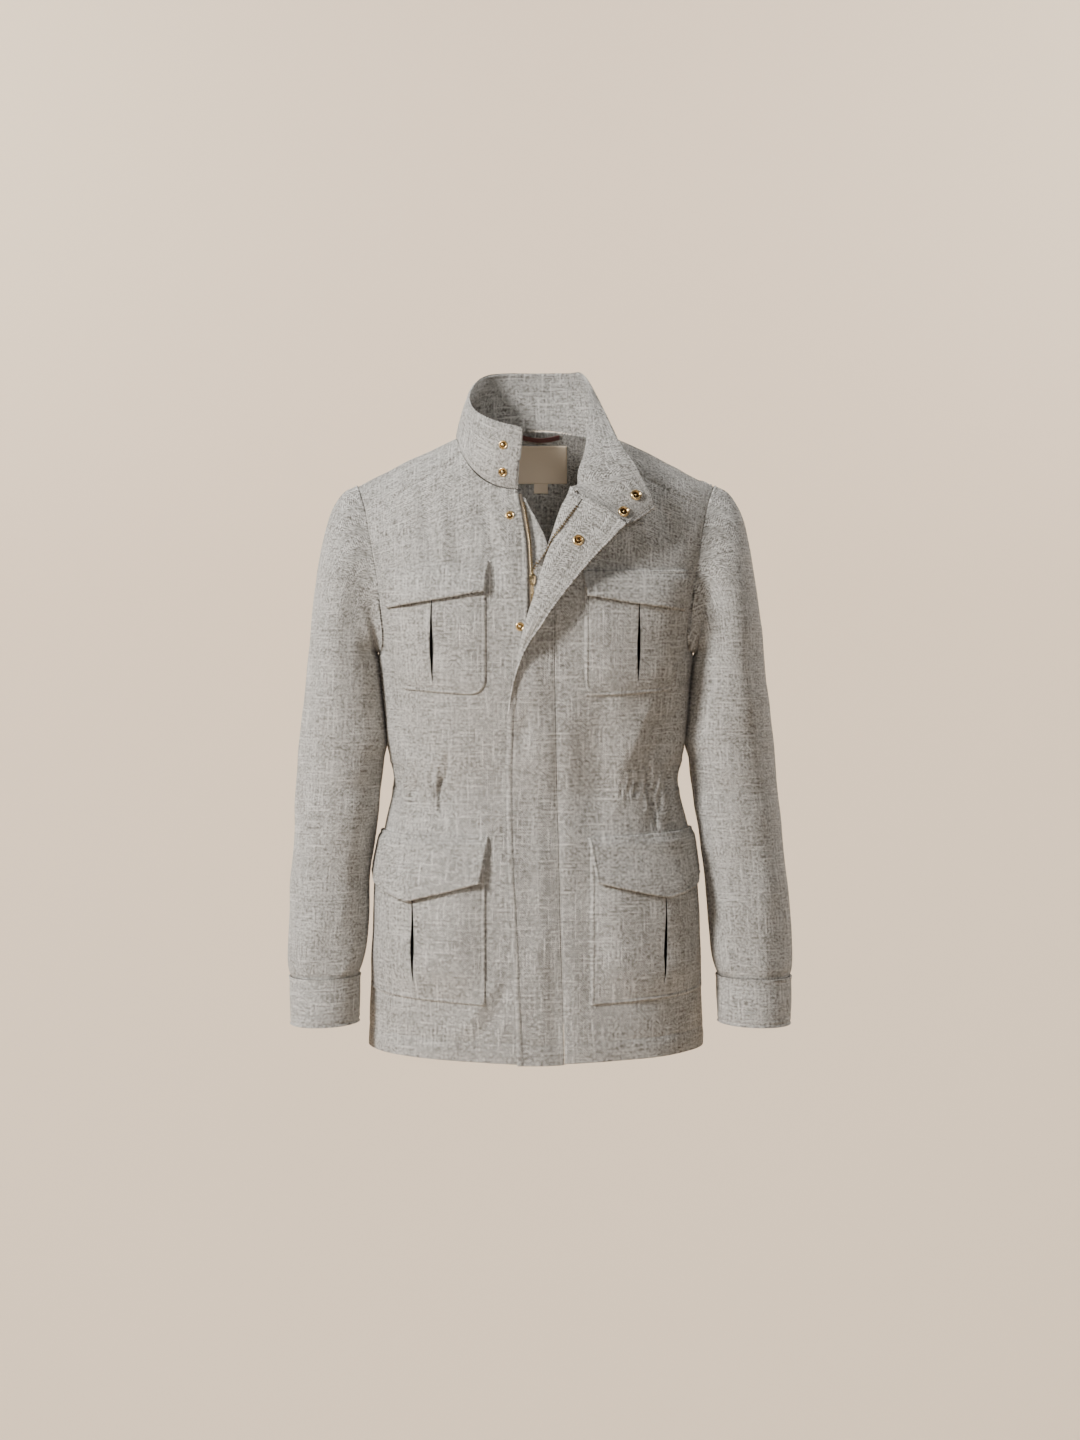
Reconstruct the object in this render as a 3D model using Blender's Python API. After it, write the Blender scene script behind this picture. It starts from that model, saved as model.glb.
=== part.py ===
"""Field jacket of washed linen, filled out as it is worn, its zip open at the neck.

The sums are in millimetres and the meshes in metres. X runs to the wearer's left, Y to the back
and Z up. The origin lies midway between the two side-neck points, over the wearer's shoulders.
Every cut piece is a thin closed wall on one body form. Pieces named right lie at negative X.
"""
import math
from collections import namedtuple
from functools import lru_cache

import bpy
import bmesh
import numpy as np
from mathutils import Vector

MM = 0.001

# Cloth
CLOTH = 1.6          # one layer with its seam allowances pressed flat
TWO_PLY = 2.4        # collar, cuffs, flaps and placket: two layers and a woven interlining
POCKET_CLOTH = 2.0   # pocket bag with its turned edge
TAPE = 0.8           # zip tape, label and loop
SEAM = 0.4           # gap between the walls of two pieces at their seam
REST = 0.4           # gap under a small piece that lies on a flat one
EASE = 0.9           # gap under a piece that lies on a curved one

# Body form, one row for each height: height, half width, depth to the front, depth to the back
# and squareness, the superellipse's power
BODY = (
    (40, 223, 110, 102, 3.0),
    (0, 223, 112, 104, 3.0),
    (-60, 219, 114, 108, 2.9),
    (-130, 211.5, 120, 112, 2.7),
    (-200, 203, 127, 114, 2.5),
    (-265, 194.5, 129, 112, 2.4),
    (-330, 188.5, 125, 106, 2.35),
    (-390, 183, 118, 100, 2.3),
    (-432, 179, 113, 97, 2.3),
    (-485, 190.5, 117, 102, 2.3),
    (-560, 201, 123, 112, 2.3),
    (-640, 206.5, 128, 119, 2.3),
    (-770, 211, 133, 124, 2.3),
)
FRONT_DOME = 230     # height over which the front rounds over into the shoulder
BACK_DOME = 120
NECK_RISE = 30       # how far the form rises above the side-neck points at the middle
SHOULDER_FALL = 0.53
SHOULDER_ROUND = 60
SLOPE_FADE = 260     # depth below the ridge at which the shoulder slope has faded out

# Seams and edges, as width from the centre and height, seen from the front
ARMHOLE_FRONT = ((223, -58.5), (217, -72), (211.5, -90), (205, -120), (199, -155), (193, -190),
                 (188.5, -222), (187, -244), (189, -258), (194.5, -264))
ARMHOLE_BACK = ((223, -58.5), (216, -74), (209, -94), (201, -122), (195, -155), (190.5, -190),
                (188, -222), (187.5, -244), (189.5, -258), (194.5, -264))
ARMHOLE_BOTTOM = -264
ARMHOLE_MIDDLE = -160
ARMHOLE_GAP = 0.5    # from the seam line to the body panels
YOKE_SEAM_FRONT = ((92, -18), (120, -40), (167, -68), (211.5, -90))
YOKE_SEAM_BACK_Z = -112
NECK_FRONT = ((92, -18), (81, -35), (69, -47.5), (56, -56), (43, -61), (22, -64), (0, -65.5),
              (-36, -67))
NECK_BACK = ((100, 0), (97, -2), (80, -7.5), (45, -15), (0, -18.5))
HEM_SIDE = -755
HEM_CENTRE_DROP = 6

# Centre front: where each edge lies, as x at a height
RIGHT_EDGE = ((-30, -22), (-64, -22), (-90, -17), (-130, -11), (-200, -9), (-800, -9))
LEFT_EDGE = ((-30, -36), (-64, -36), (-300, -36), (-370, -38), (-500, -34), (-620, -28),
             (-800, -21))
RIGHT_EDGE_MIRRORED = tuple((z, -x) for z, x in RIGHT_EDGE)
PLACKET_SEAM = ((-30, 25), (-250, 23), (-390, 25), (-600, 30), (-800, 36))
COVER = 6.0          # how far the placket's face stands before the right front
COVER_RUN = 18       # the width over which it rises there from its seam

# Rolled-open top of the left front: a straight fold from the break to the neck seam
BREAK = (-30, -304)
ROLL_TOP = (50, -61)
ROLL_RADIUS = 7
ROLL_TURN = math.radians(171)
ROLL_START = 75      # length over which the fold opens above the break
ROLL_REACH = 90      # beyond this x the left front lies flat on the form
BREAK_EASE = 20      # below the break the placket's rows are coarser
PLACKET_ROWS = (13, 14)  # below and above that height

# Sleeve, one row for each ring: x and z of its outer point, x and z of its inner point, y of its
# middle and half of its depth
SLEEVE = (
    (223, -58.5, 194.5, -264, 0, 58),
    (239, -67, 200.5, -264, 0, 59),
    (253, -89, 203, -266, 0, 61),
    (262.5, -122, 203.5, -272, 0, 63.5),
    (270, -165, 202, -281, 0, 66),
    (277, -215, 199, -294, 1, 68.5),
    (282, -265, 196.5, -311, 2, 70),
    (288, -318, 194.5, -334, 3, 70),
    (293.5, -368, 192, -368, 4, 68.5),
    (297, -412, 194, -408, 3, 66.5),
    (300, -455, 198.5, -452, 1, 64.5),
    (302, -500, 203, -498, -3, 62),
    (305, -545, 208, -543, -9, 59),
    (306.5, -590, 210, -588, -16, 56.5),
    (307.5, -630, 213.5, -628, -24, 53),
    (306, -653, 217.5, -650, -30, 49.5),
    (303, -665.5, 222, -663.5, -33, 46.5),
)
CUFF = (
    (304, -666.5, 221, -664.5, -33.2, 47.5),
    (304.5, -685, 221, -683, -36, 48),
    (304, -705, 221.5, -703, -40, 47.5),
    (303, -724, 222.5, -721, -43, 46.5),
)
ARMHOLE_BLEND = 5    # rings over which the tube takes the armhole's own shape
SWING_OUT = 11       # how much further out the left sleeve hangs at its cuff
SWING_IN = 6
SWING_FROM = -330
SWING_TO = -660

# Collar: way along the neck seam from the centre back, then x, y and z of its middle line and
# x, y and z of its upper edge
COLLAR_GAP = 1.2     # from the middle of the seam's edge to the collar's edge
COLLAR_FRONT_Y = -30  # snaps lie on the part of the collar before this
COLLAR_RIGHT = (
    (0, 0, 60, 48, 0, 58, 83),
    (45, 43, 55, 47, 40, 53, 83),
    (87, 73, 37, 42, 64, 37, 79),
    (128, 89, 4, 33, 77, 5, 66),
    (166, 91, -37, 16, 82, -36, 46),
    (204, 78, -68, -3, 72, -64, 31),
    (238, 54, -87, -19, 48, -82, 19),
    (276, 20, -94, -27, 16, -92, 11),
)
COLLAR_LEFT = (
    (0, 0, 60, 48, 0, 58, 83),
    (45, 43, 55, 47, 40, 53, 83),
    (87, 71, 40, 46, 60, 42, 81),
    (128, 67, 6, 52, 80, -4, 44),
    (166, 66, -34, 18, 94, -44, 12),
    (204, 61, -70, -18, 105, -68, -12),
    (238, 59, -97, -46, 120, -84, -34),
    (271, 86, -111, -68, 131, -92, -52),
    (300, 104, -116, -84, 139, -97, -67),
    (334, 120, -117, -97, 144, -100, -83),
)

# Patch pockets with flaps: girth of the inner edge and width, heights of the flap's seam and of
# the pocket's bottom at the inner and outer edge, the flap's depth at its inner edge, its point
# and its outer edge, its slant inwards, the slit's place and heights, how far the bag bulges and
# the radius of its lower corners
Pocket = namedtuple("Pocket", "name side inner width seam_in seam_out bottom_in bottom_out "
                    "flap_in flap_point flap_out slant slit slit_top slit_bottom bulge corner")
POCKETS = (
    Pocket("chest", -1, 56, 137, -150, -161, -312, -306, 37, 42, 47, 5, 70, -196, -297, 3, 20),
    Pocket("chest", 1, 55, 138, -161, -161, -314, -308, 31, 41, 50, 6, 70, -198, -296, 3, 20),
    Pocket("hip", -1, 57, 194, -484, -485, -689, -681, 57, 82, 54, 10, 94, -560, -666, 7, 3),
    Pocket("hip", 1, 63, 190, -485, -482, -689, -682, 55, 79, 60, 10, 97, -560, -668, 7, 3),
)
POCKET_INSET = 4     # how much narrower the pocket is than its flap at each side
POCKET_DROP = 16     # the pocket's mouth lies this far below the flap's seam
SLIT_HALF = 1.7
BAG_STEP = 15        # width between the bag's columns
SIDE_MARGIN = 2      # how far a pocket's edge stays from the side seam
SLIT_DEPTH = 1.3
HINGE_LIFT = 3       # the flap is out over the bag this far above its mouth
BAG_DOWNS = (0, 0.14, 0.3, 0.46, 0.62, 0.78, 0.9, 1)     # shares of the bag's height
FLAP_DOWNS = (0, 0.5, 1, 1.35, 1.7, 2)   # seam to hinge is 0 to 1, hinge to free edge 1 to 2
FLAP_STAND = 4       # how far the flap's free edge stands off

# Soft folds: side (0 is both), face (1 front, -1 back), girth and height of one end, girth and
# height of the other, width and depth
FOLDS = (
    (-1, 1, 118, -405, 122, -470, 13, -5.0),
    (-1, 1, 158, -410, 152, -475, 12, -4.0),
    (-1, 1, 196, -400, 204, -500, 16, -3.5),
    (-1, 1, 138, -395, 138, -455, 14, 3.0),
    (1, 1, 143, -400, 152, -490, 13, -5.0),
    (1, 1, 182, -405, 178, -480, 12, -4.5),
    (1, 1, 214, -400, 220, -520, 16, -3.0),
    (1, 1, 164, -400, 166, -460, 14, 3.0),
    (-1, 1, 30, -330, 60, -450, 24, -3.0),
    (1, 1, 70, -340, 60, -470, 24, -3.0),
    (-1, 1, 205, -270, 150, -390, 26, -4.0),
    (1, 1, 205, -275, 150, -400, 26, -4.0),
    (0, 1, 215, -520, 222, -750, 30, -4.0),
    (0, -1, 150, -400, 156, -490, 15, -5.0),
    (0, -1, 188, -405, 186, -480, 14, -4.0),
    (0, -1, 108, -400, 104, -500, 16, -4.0),
    (0, -1, 60, -410, 66, -500, 18, -3.0),
    (0, -1, 210, -280, 120, -380, 28, -5.0),
    (0, -1, 160, -520, 170, -750, 34, -4.0),
    (0, -1, 60, -520, 56, -750, 36, -3.0),
)

# Sleeve folds: fraction down, turn round from the outside (front is a quarter), reach of each,
# slant as turn per fraction, and depth
SLEEVE_FOLDS = (
    (0.16, 0.36, 0.07, 0.07, 0.25, -4.0),
    (0.30, 0.22, 0.16, 0.06, 0.10, -2.5),
    (0.47, 0.42, 0.05, 0.16, -0.4, -4.5),
    (0.56, 0.34, 0.05, 0.14, 0.5, -3.5),
    (0.66, 0.30, 0.05, 0.12, -0.3, -3.0),
    (0.80, 0.20, 0.10, 0.05, 0.1, -3.0),
    (0.90, 0.38, 0.07, 0.05, 0.0, -3.0),
    (0.50, 0.64, 0.06, 0.12, 0.4, -4.0),
    (0.84, 0.70, 0.09, 0.06, 0.1, -3.0),
)

# Zip: its tapes lie under the fronts' edges, on a guard
ZIP_BOTTOM = -722
TAPE_TOP = -68
LEFT_TAPE_TOP = -70
GUARD_TOP = -72
GUARD_DROP = 8       # how far the guard reaches below the tapes
TAPE_ROWS = 24
LEFT_TAPE_ROWS = (17, 10)    # below and above the slider
SLIDER = (-4, -172)  # x and height of the slider's middle
SLIDER_HALF = (4.4, 7)
SLIDER_HEIGHT = 3.0
SLIDER_BEVEL = 1.2
TAPE_REACH = 4.4     # how far the right tape stands out past the front's edge
TAPE_WIDTH = 16
TAPE_EASE = 1.4      # gap between the rolled-open front and the left tape
LEFT_TAPE = (-3.4, 12)   # x of the left tape's edge below the slider and where it is rolled open
TAPE_PARTS = SLIDER[1] + SLIDER_HALF[1] + 1   # height above which the two halves part
TAPE_OPENS = 42      # height over which it moves from one to the other
GUARD_RIGHT = ((0, -24), (-800, -24))
GUARD_LEFT = ((-60, -13), (-72, -13), (-130, 14), (-200, 15), (-800, 15))

# Snap fasteners: profiles as radius and height, and places seen from the front
STUD = ((0, 0), (5.6, 0), (5.6, 0.9), (3.0, 1.3), (2.6, 2.6), (0, 2.9))
SOCKET = ((0, 0), (7.0, 0), (7.0, 1.2), (5.6, 2.0), (4.0, 1.6), (3.6, 0.7), (0, 0.7))
FRONT_STUDS = ((-32, -97), (-20.6, -230))
COLLAR_STUDS = ((-41, -12), (-40, -44))
COLLAR_SOCKETS = ((118, -73), (103, -93))
SOCKET_EASE = 1.1    # gap under the snaps on the curved collar
PLACKET_SOCKET = (-12, -115)   # on the placket's closed plan

# Neck label, its size tab and the hanger loop: left, right, top and bottom on the back's inside
LABEL = (-27, 39.5, -5.5, -53.5)
SIZE_TAB = (-2.5, 15, -54, -66)
LOOP = (-18, 30, 8, 2.5)
LOOP_STAND = 5

# Columns and rows of the wall grids
FRONT_COLS = (5, 6)          # neckline and yoke seam
ARMHOLE_ROWS = 8
SIDE_ROWS = 17
YOKE_ARM = 3                 # on each side of the shoulder ridge
YOKE_BACK_COLS = 8
SEAM_EASE = 4                # columns over which the yoke takes up its front seam's bow
SLEEVE_ROWS = 21
CUFF_COLS = 22
FLAP_COLS = {"chest": 8, "hip": 12}
COLLAR_ROWS = 7

COLOURS = {
    "cloth": (0.400, 0.365, 0.320),
    "brass": (0.60, 0.47, 0.28),
    "tape": (0.42, 0.36, 0.30),
    "label": (0.55, 0.46, 0.35),
    "loop": (0.12, 0.05, 0.04),
}


def smooth(value):
    value = min(max(value, 0.0), 1.0)
    return value * value * (3 - 2 * value)


def mix(first, second, share):
    return first + (second - first) * share


def hermite(table, at):
    """A row of the table at the place `at` of its first column, smooth between the rows."""
    places = [row[0] for row in table]
    if places[0] > places[-1]:
        return hermite(table[::-1], at)
    at = min(max(at, places[0]), places[-1])
    last = len(places) - 2
    i = min(max(sum(place <= at for place in places) - 1, 0), last)
    rows = np.array(table, float)
    step = rows[i + 1, 0] - rows[i, 0]
    t = (at - rows[i, 0]) / step

    def slope(k):
        if k == 0:
            return (rows[1] - rows[0]) / (rows[1, 0] - rows[0, 0])
        if k == last + 1:
            return (rows[k] - rows[k - 1]) / (rows[k, 0] - rows[k - 1, 0])
        return (rows[k + 1] - rows[k - 1]) / (rows[k + 1, 0] - rows[k - 1, 0])

    a, b = slope(i) * step, slope(i + 1) * step
    return ((2 * t ** 3 - 3 * t ** 2 + 1) * rows[i] + (t ** 3 - 2 * t ** 2 + t) * a
            + (3 * t ** 2 - 2 * t ** 3) * rows[i + 1] + (t ** 3 - t ** 2) * b)


def along_path(points, share):
    """A point on the smooth path through the points, at a share of its length."""
    points = np.array(points, float)
    steps = np.linalg.norm(np.diff(points, axis=0), axis=1)
    length = np.concatenate(([0.0], np.cumsum(steps)))
    table = [(d, *p) for d, p in zip(length, points)]
    return hermite(table, share * length[-1])[1:]


# ---------------------------------------------------------------- body form

@lru_cache(maxsize=None)
def body(height):
    _, half_width, front, back, power = hermite(BODY, height)
    return half_width, front, back, power


def dome(height, reach):
    return math.sqrt(max(1 - max(0.0, 1 + height / reach) ** 2, 0.0))


def rise(x):
    return NECK_RISE - SHOULDER_FALL * (math.hypot(x, SHOULDER_ROUND) - SHOULDER_ROUND)


def slope_share(height):
    return smooth(1 + height / SLOPE_FADE)


def world_z(x, height):
    return height + rise(x) * slope_share(height)


def ring_height(x, z):
    """The ring, named by its height on the centre line, that passes through x and z."""
    height = z
    for _ in range(30):
        height += 0.7 * (z - world_z(x, height))
    return min(height, 0.0)


def ring_depth(height, back):
    _, front_depth, back_depth, _ = body(height)
    if back:
        return back_depth * dome(height, BACK_DOME)
    return front_depth * dome(height, FRONT_DOME)


@lru_cache(maxsize=None)
def quarter_ring(height, back):
    """Angles, widths, depths and girths from the centre to the side of one ring."""
    half_width, _, _, power = body(height)
    depth = ring_depth(height, back)
    angle = np.linspace(0, math.pi / 2, 161)
    wide = half_width * np.sin(angle) ** (2 / power)
    deep = depth * np.cos(angle) ** (2 / power)
    deep[-1] = 0.0
    steps = np.hypot(np.diff(wide), np.diff(deep))
    girth = np.concatenate(([0.0], np.cumsum(steps)))
    return wide, deep, girth


def fold_depth(side, back, girth, z):
    """How far the soft folds move the cloth out at this girth and height."""
    total = 0.0
    for fold_side, face, girth_a, z_a, girth_b, z_b, width, depth in FOLDS:
        if fold_side not in (0, side) or (face < 0) != back:
            continue
        run = np.array((girth_b - girth_a, z_b - z_a), float)
        offset = np.array((girth - girth_a, z - z_a), float)
        share = float(offset @ run) / float(run @ run)
        across = abs(offset[0] * run[1] - offset[1] * run[0]) / math.hypot(*run)
        if -0.5 < share < 1.5 and across < 3 * width:
            ends = smooth(1 - abs(2 * share - 1) / 1.6) if abs(2 * share - 1) < 1.6 else 0.0
            total += depth * ends * math.exp(-(across / width) ** 2)
    return total


def on_body(side, back, girth, height):
    """Point of the form at a girth from the centre line of one ring. side is -1 or 1."""
    height = round(height, 3)
    wide, deep, girths = quarter_ring(height, back)
    reach = abs(girth)
    half = np.sign(girth) if girth else 1
    x = float(np.interp(reach, girths, wide))
    y = float(np.interp(reach, girths, deep))
    if reach > girths[-1]:
        y = -(reach - girths[-1])
    x_signed = side * half * x
    z = world_z(x, height)
    out = fold_depth(int(side * half), back, reach, z)
    norm = math.hypot(x / body(height)[0], y / max(ring_depth(height, back), 1.0)) or 1.0
    nx = x / body(height)[0] / norm
    ny = y / max(ring_depth(height, back), 1.0) / norm
    y_signed = (y + out * ny) * (1 if back else -1)
    return np.array((x_signed + side * half * out * nx, y_signed, z))


def girth_of(x, height, back):
    wide, _, girths = quarter_ring(round(height, 3), back)
    return float(np.sign(x) * np.interp(abs(x), wide, girths))


def side_girth(height, back):
    return float(quarter_ring(round(height, 3), back)[2][-1])


def face_point(x, z, back=False):
    """Point of the form seen at x and z from the front, or from behind."""
    height = ring_height(x, z)
    return on_body(1, back, girth_of(x, height, back), height)


def ridge_point(side, x, across):
    """Point near the shoulder ridge. across is minus to the front, a root of the ring's depth."""
    height = -across * across
    back = across > 0
    return on_body(side, back, girth_of(x, round(height, 3), back), height)


def normal_of(chart, a, b, outside, step=0.5):
    """Unit normal of a chart, turned to the side on which the point `outside` has no cloth."""
    along_a = chart(a + step, b) - chart(a - step, b)
    along_b = chart(a, b + step) - chart(a, b - step)
    normal = np.cross(along_a, along_b)
    size = np.linalg.norm(normal)
    normal = normal / size if size > 1e-9 else np.array((0.0, 0.0, 1.0))
    return normal * outside


# ---------------------------------------------------------------- meshes

def material(name, colour, roughness=0.9, metallic=0.0):
    mat = bpy.data.materials.new(name)
    mat.use_nodes = True
    shader = mat.node_tree.nodes["Principled BSDF"]
    shader.inputs["Base Color"].default_value = (*colour, 1)
    shader.inputs["Roughness"].default_value = roughness
    shader.inputs["Metallic"].default_value = metallic
    mat.diffuse_color = (*colour, 1)
    return mat


def add_object(name, mesh_data, finish):
    obj = bpy.data.objects.new(name, mesh_data)
    bpy.context.scene.collection.objects.link(obj)
    rough, metal = (0.35, 1.0) if finish == "brass" else (0.9, 0.0)
    obj.data.materials.append(material(name + "_finish", COLOURS[finish], rough, metal))
    return obj


def close_wall(name, face, lining, finish="cloth", tube=False):
    """A closed wall between two grids of points: the cloth's face and its other side."""
    face, lining = np.array(face, float), np.array(lining, float)
    rows, cols = face.shape[:2]
    mesh = bmesh.new()
    layers = [[[mesh.verts.new(Vector(p * MM)) for p in row] for row in grid]
              for grid in (face, lining)]
    spans = cols if tube else cols - 1
    for grid in layers:
        for i in range(rows - 1):
            for j in range(spans):
                k = (j + 1) % cols
                mesh.faces.new((grid[i][j], grid[i][k], grid[i + 1][k], grid[i + 1][j]))
    top, under = layers
    for i in (0, rows - 1):
        for j in range(spans):
            k = (j + 1) % cols
            mesh.faces.new((top[i][j], top[i][k], under[i][k], under[i][j]))
    if not tube:
        for j in (0, cols - 1):
            for i in range(rows - 1):
                mesh.faces.new((top[i][j], top[i + 1][j], under[i + 1][j], under[i][j]))
    bmesh.ops.recalc_face_normals(mesh, faces=mesh.faces)
    data = bpy.data.meshes.new(name)
    mesh.to_mesh(data)
    mesh.free()
    data.shade_smooth()
    data.set_sharp_from_angle(angle=math.radians(50))
    return add_object(name, data, finish)


def chart_wall(name, chart, grid, outside, thickness, lift=None, finish="cloth", dent=None):
    """A wall on a chart: its face lies `lift` out from the chart at each (a, b) of the grid."""
    face, lining = [], []
    for i, row in enumerate(grid):
        face_row, lining_row = [], []
        for j, (a, b) in enumerate(row):
            out = lift(i, j) if lift else 0.0
            point, normal = chart(a, b), normal_of(chart, a, b, outside)
            face_row.append(point + normal * out)
            lining_row.append(point + normal * (out - thickness))
            if dent:
                face_row[-1] = face_row[-1] - normal * dent(i, j)
        face.append(face_row)
        lining.append(lining_row)
    return close_wall(name, face, lining, finish)


def coons(bottom, top, left, right):
    """Grid inside four edges, each a list of (a, b); left and right run up from the bottom."""
    bottom, top = np.array(bottom, float), np.array(top, float)
    left, right = np.array(left, float), np.array(right, float)
    rows, cols = len(left), len(bottom)
    grid = np.zeros((rows, cols, 2))
    for i in range(rows):
        t = i / (rows - 1)
        for j in range(cols):
            s = j / (cols - 1)
            corners = ((1 - s) * (1 - t) * bottom[0] + s * (1 - t) * bottom[-1]
                       + (1 - s) * t * top[0] + s * t * top[-1])
            grid[i, j] = ((1 - t) * bottom[j] + t * top[j]
                          + (1 - s) * left[i] + s * right[i] - corners)
    return grid


def turned(name, profile, centre, axis, finish="brass", sides=12):
    """A turned piece: the profile is (radius, height) pairs from the axis round to the axis."""
    axis = Vector(axis).normalized()
    across = axis.orthogonal().normalized()
    second = axis.cross(across)
    centre = Vector(centre)
    mesh = bmesh.new()
    rings = []
    for radius, height in profile:
        if radius == 0:
            rings.append([mesh.verts.new((centre + axis * height) * MM)])
            continue
        ring = []
        for k in range(sides):
            angle = 2 * math.pi * k / sides
            spoke = across * math.cos(angle) + second * math.sin(angle)
            ring.append(mesh.verts.new((centre + spoke * radius + axis * height) * MM))
        rings.append(ring)
    for low, high in zip(rings, rings[1:]):
        for k in range(sides):
            n = (k + 1) % sides
            corners = [low[k % len(low)], low[n % len(low)], high[n % len(high)], high[k % len(high)]]
            mesh.faces.new(list(dict.fromkeys(corners)))
    bmesh.ops.recalc_face_normals(mesh, faces=mesh.faces)
    data = bpy.data.meshes.new(name)
    mesh.to_mesh(data)
    mesh.free()
    data.shade_smooth()
    data.set_sharp_from_angle(angle=math.radians(40))
    return add_object(name, data, finish)


# ---------------------------------------------------------------- seams shared by the pieces

def armhole_points(side, back, first, last, count):
    """(girth, ring height) along one branch of the armhole, between two shares of its length."""
    path = ARMHOLE_BACK if back else ARMHOLE_FRONT
    found = []
    for share in np.linspace(first, last, count + 1):
        x, z = along_path(path, share)
        height = ring_height(x, z)
        reach = side_girth(height, back) if share >= 1 else girth_of(x, height, back)
        found.append((reach, height))
    return found


def clear_of_armhole(points, side_reach):
    """The armhole edge of a panel, moved off the seam line towards the panel."""
    middle = np.array((side_reach, ARMHOLE_MIDDLE))
    points = np.array(points, float)
    moved = []
    for k, point in enumerate(points):
        run = points[min(k + 1, len(points) - 1)] - points[max(k - 1, 0)]
        if k == 0:
            run = np.array((1.0, 0.0))
        away = np.array((-run[1], run[0])) / np.linalg.norm(run)
        if away @ (point - middle) < 0:
            away = -away
        moved.append(tuple(point + away * ARMHOLE_GAP))
    return moved


def path_share(path, z):
    """Share of a falling path's length at which it has come down to the height z."""
    low, high = 0.0, 1.0
    for _ in range(40):
        middle = (low + high) / 2
        low, high = (middle, high) if along_path(path, middle)[1] > z else (low, middle)
    return low


YOKE_SHARE_FRONT = path_share(ARMHOLE_FRONT, YOKE_SEAM_FRONT[-1][1])
YOKE_SHARE_BACK = path_share(ARMHOLE_BACK, YOKE_SEAM_BACK_Z)


def edge_x(table, z):
    return float(hermite(table, z)[1])


def hem_z(girth, side_reach):
    return HEM_SIDE - HEM_CENTRE_DROP * (1 - min(abs(girth) / side_reach, 1)) ** 2


def to_chart(x, z, back=False):
    height = ring_height(x, z)
    return girth_of(x, height, back), height


def fan(points, count):
    return [tuple(along_path(points, share)) for share in np.linspace(0, 1, count + 1)]


def front_grid(edge, top_end_x):
    """Chart grid of a front, from its centre edge to the side, from the hem to the neck."""
    half_gap = SEAM / 2
    bottom_height = HEM_SIDE
    reach = side_girth(bottom_height, False) - half_gap
    side_heights = np.linspace(bottom_height, ARMHOLE_BOTTOM, SIDE_ROWS + 1)
    side = [(side_girth(h, False) - half_gap, h) for h in side_heights]
    arm = armhole_points(1, False, 1.0, YOKE_SHARE_FRONT, ARMHOLE_ROWS)
    arm = clear_of_armhole(arm, arm[0][0])
    outer = side[:-1] + [(side[-1][0], arm[0][1])] + arm[1:]
    neck = [p for p in NECK_FRONT if p[0] > top_end_x] + [(top_end_x, neck_z(top_end_x))]
    neck_part = fan(neck[::-1], FRONT_COLS[0])
    seam_part = fan(YOKE_SEAM_FRONT, FRONT_COLS[1])
    top = [to_chart(x, z - half_gap) for x, z in neck_part + seam_part[1:]]
    outer[-1] = (outer[-1][0], outer[-1][1] - half_gap)
    top[-1] = outer[-1]
    cols = sum(FRONT_COLS)
    heights = np.linspace(HEM_SIDE - HEM_CENTRE_DROP, top[0][1], len(outer))
    centre = []
    for height in heights:
        x = edge_x(edge, world_z(abs(top_end_x), height))
        centre.append((girth_of(x, height, False), height))
    centre[-1] = top[0]
    bottom = [(g, hem_z(g, reach)) for g in np.linspace(centre[0][0], side[0][0], cols + 1)]
    bottom[0], bottom[-1] = centre[0], outer[0]
    return coons(bottom, top, centre, outer)


def neck_z(x):
    return float(np.interp(-x, [-p[0] for p in NECK_FRONT], [p[1] for p in NECK_FRONT]))


def back_grid():
    half_gap = SEAM / 2
    side_heights = np.linspace(HEM_SIDE, ARMHOLE_BOTTOM, SIDE_ROWS + 1)
    side = [(side_girth(h, True) - half_gap, h) for h in side_heights]
    arm = armhole_points(1, True, 1.0, YOKE_SHARE_BACK, ARMHOLE_ROWS)
    arm = clear_of_armhole(arm, arm[0][0])
    outer = side[:-1] + [(side[-1][0], arm[0][1])] + arm[1:]
    corner_g, corner_h = outer[-1]
    top_h = ring_height(0, YOKE_SEAM_BACK_Z)
    cols = YOKE_BACK_COLS
    top = []
    for share in np.linspace(0, 1, cols + 1):
        x = mix(0.0, along_path(ARMHOLE_BACK, YOKE_SHARE_BACK)[0], share)
        g, h = to_chart(x, YOKE_SEAM_BACK_Z - half_gap, True)
        top.append((g, h))
    top[0] = (half_gap, top_h)
    top[-1] = (corner_g, top[-1][1])
    outer[-1] = top[-1]
    centre = [(half_gap, h) for h in np.linspace(HEM_SIDE, top[0][1], len(outer))]
    bottom = [(g, HEM_SIDE) for g in np.linspace(half_gap, side[0][0], cols + 1)]
    return coons(bottom, top, centre, outer)


def ring_root(x, z, back):
    """The ridge chart's coordinates of a point seen at x and z."""
    return (x, math.sqrt(-ring_height(x, z)) * (1 if back else -1))


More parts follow.
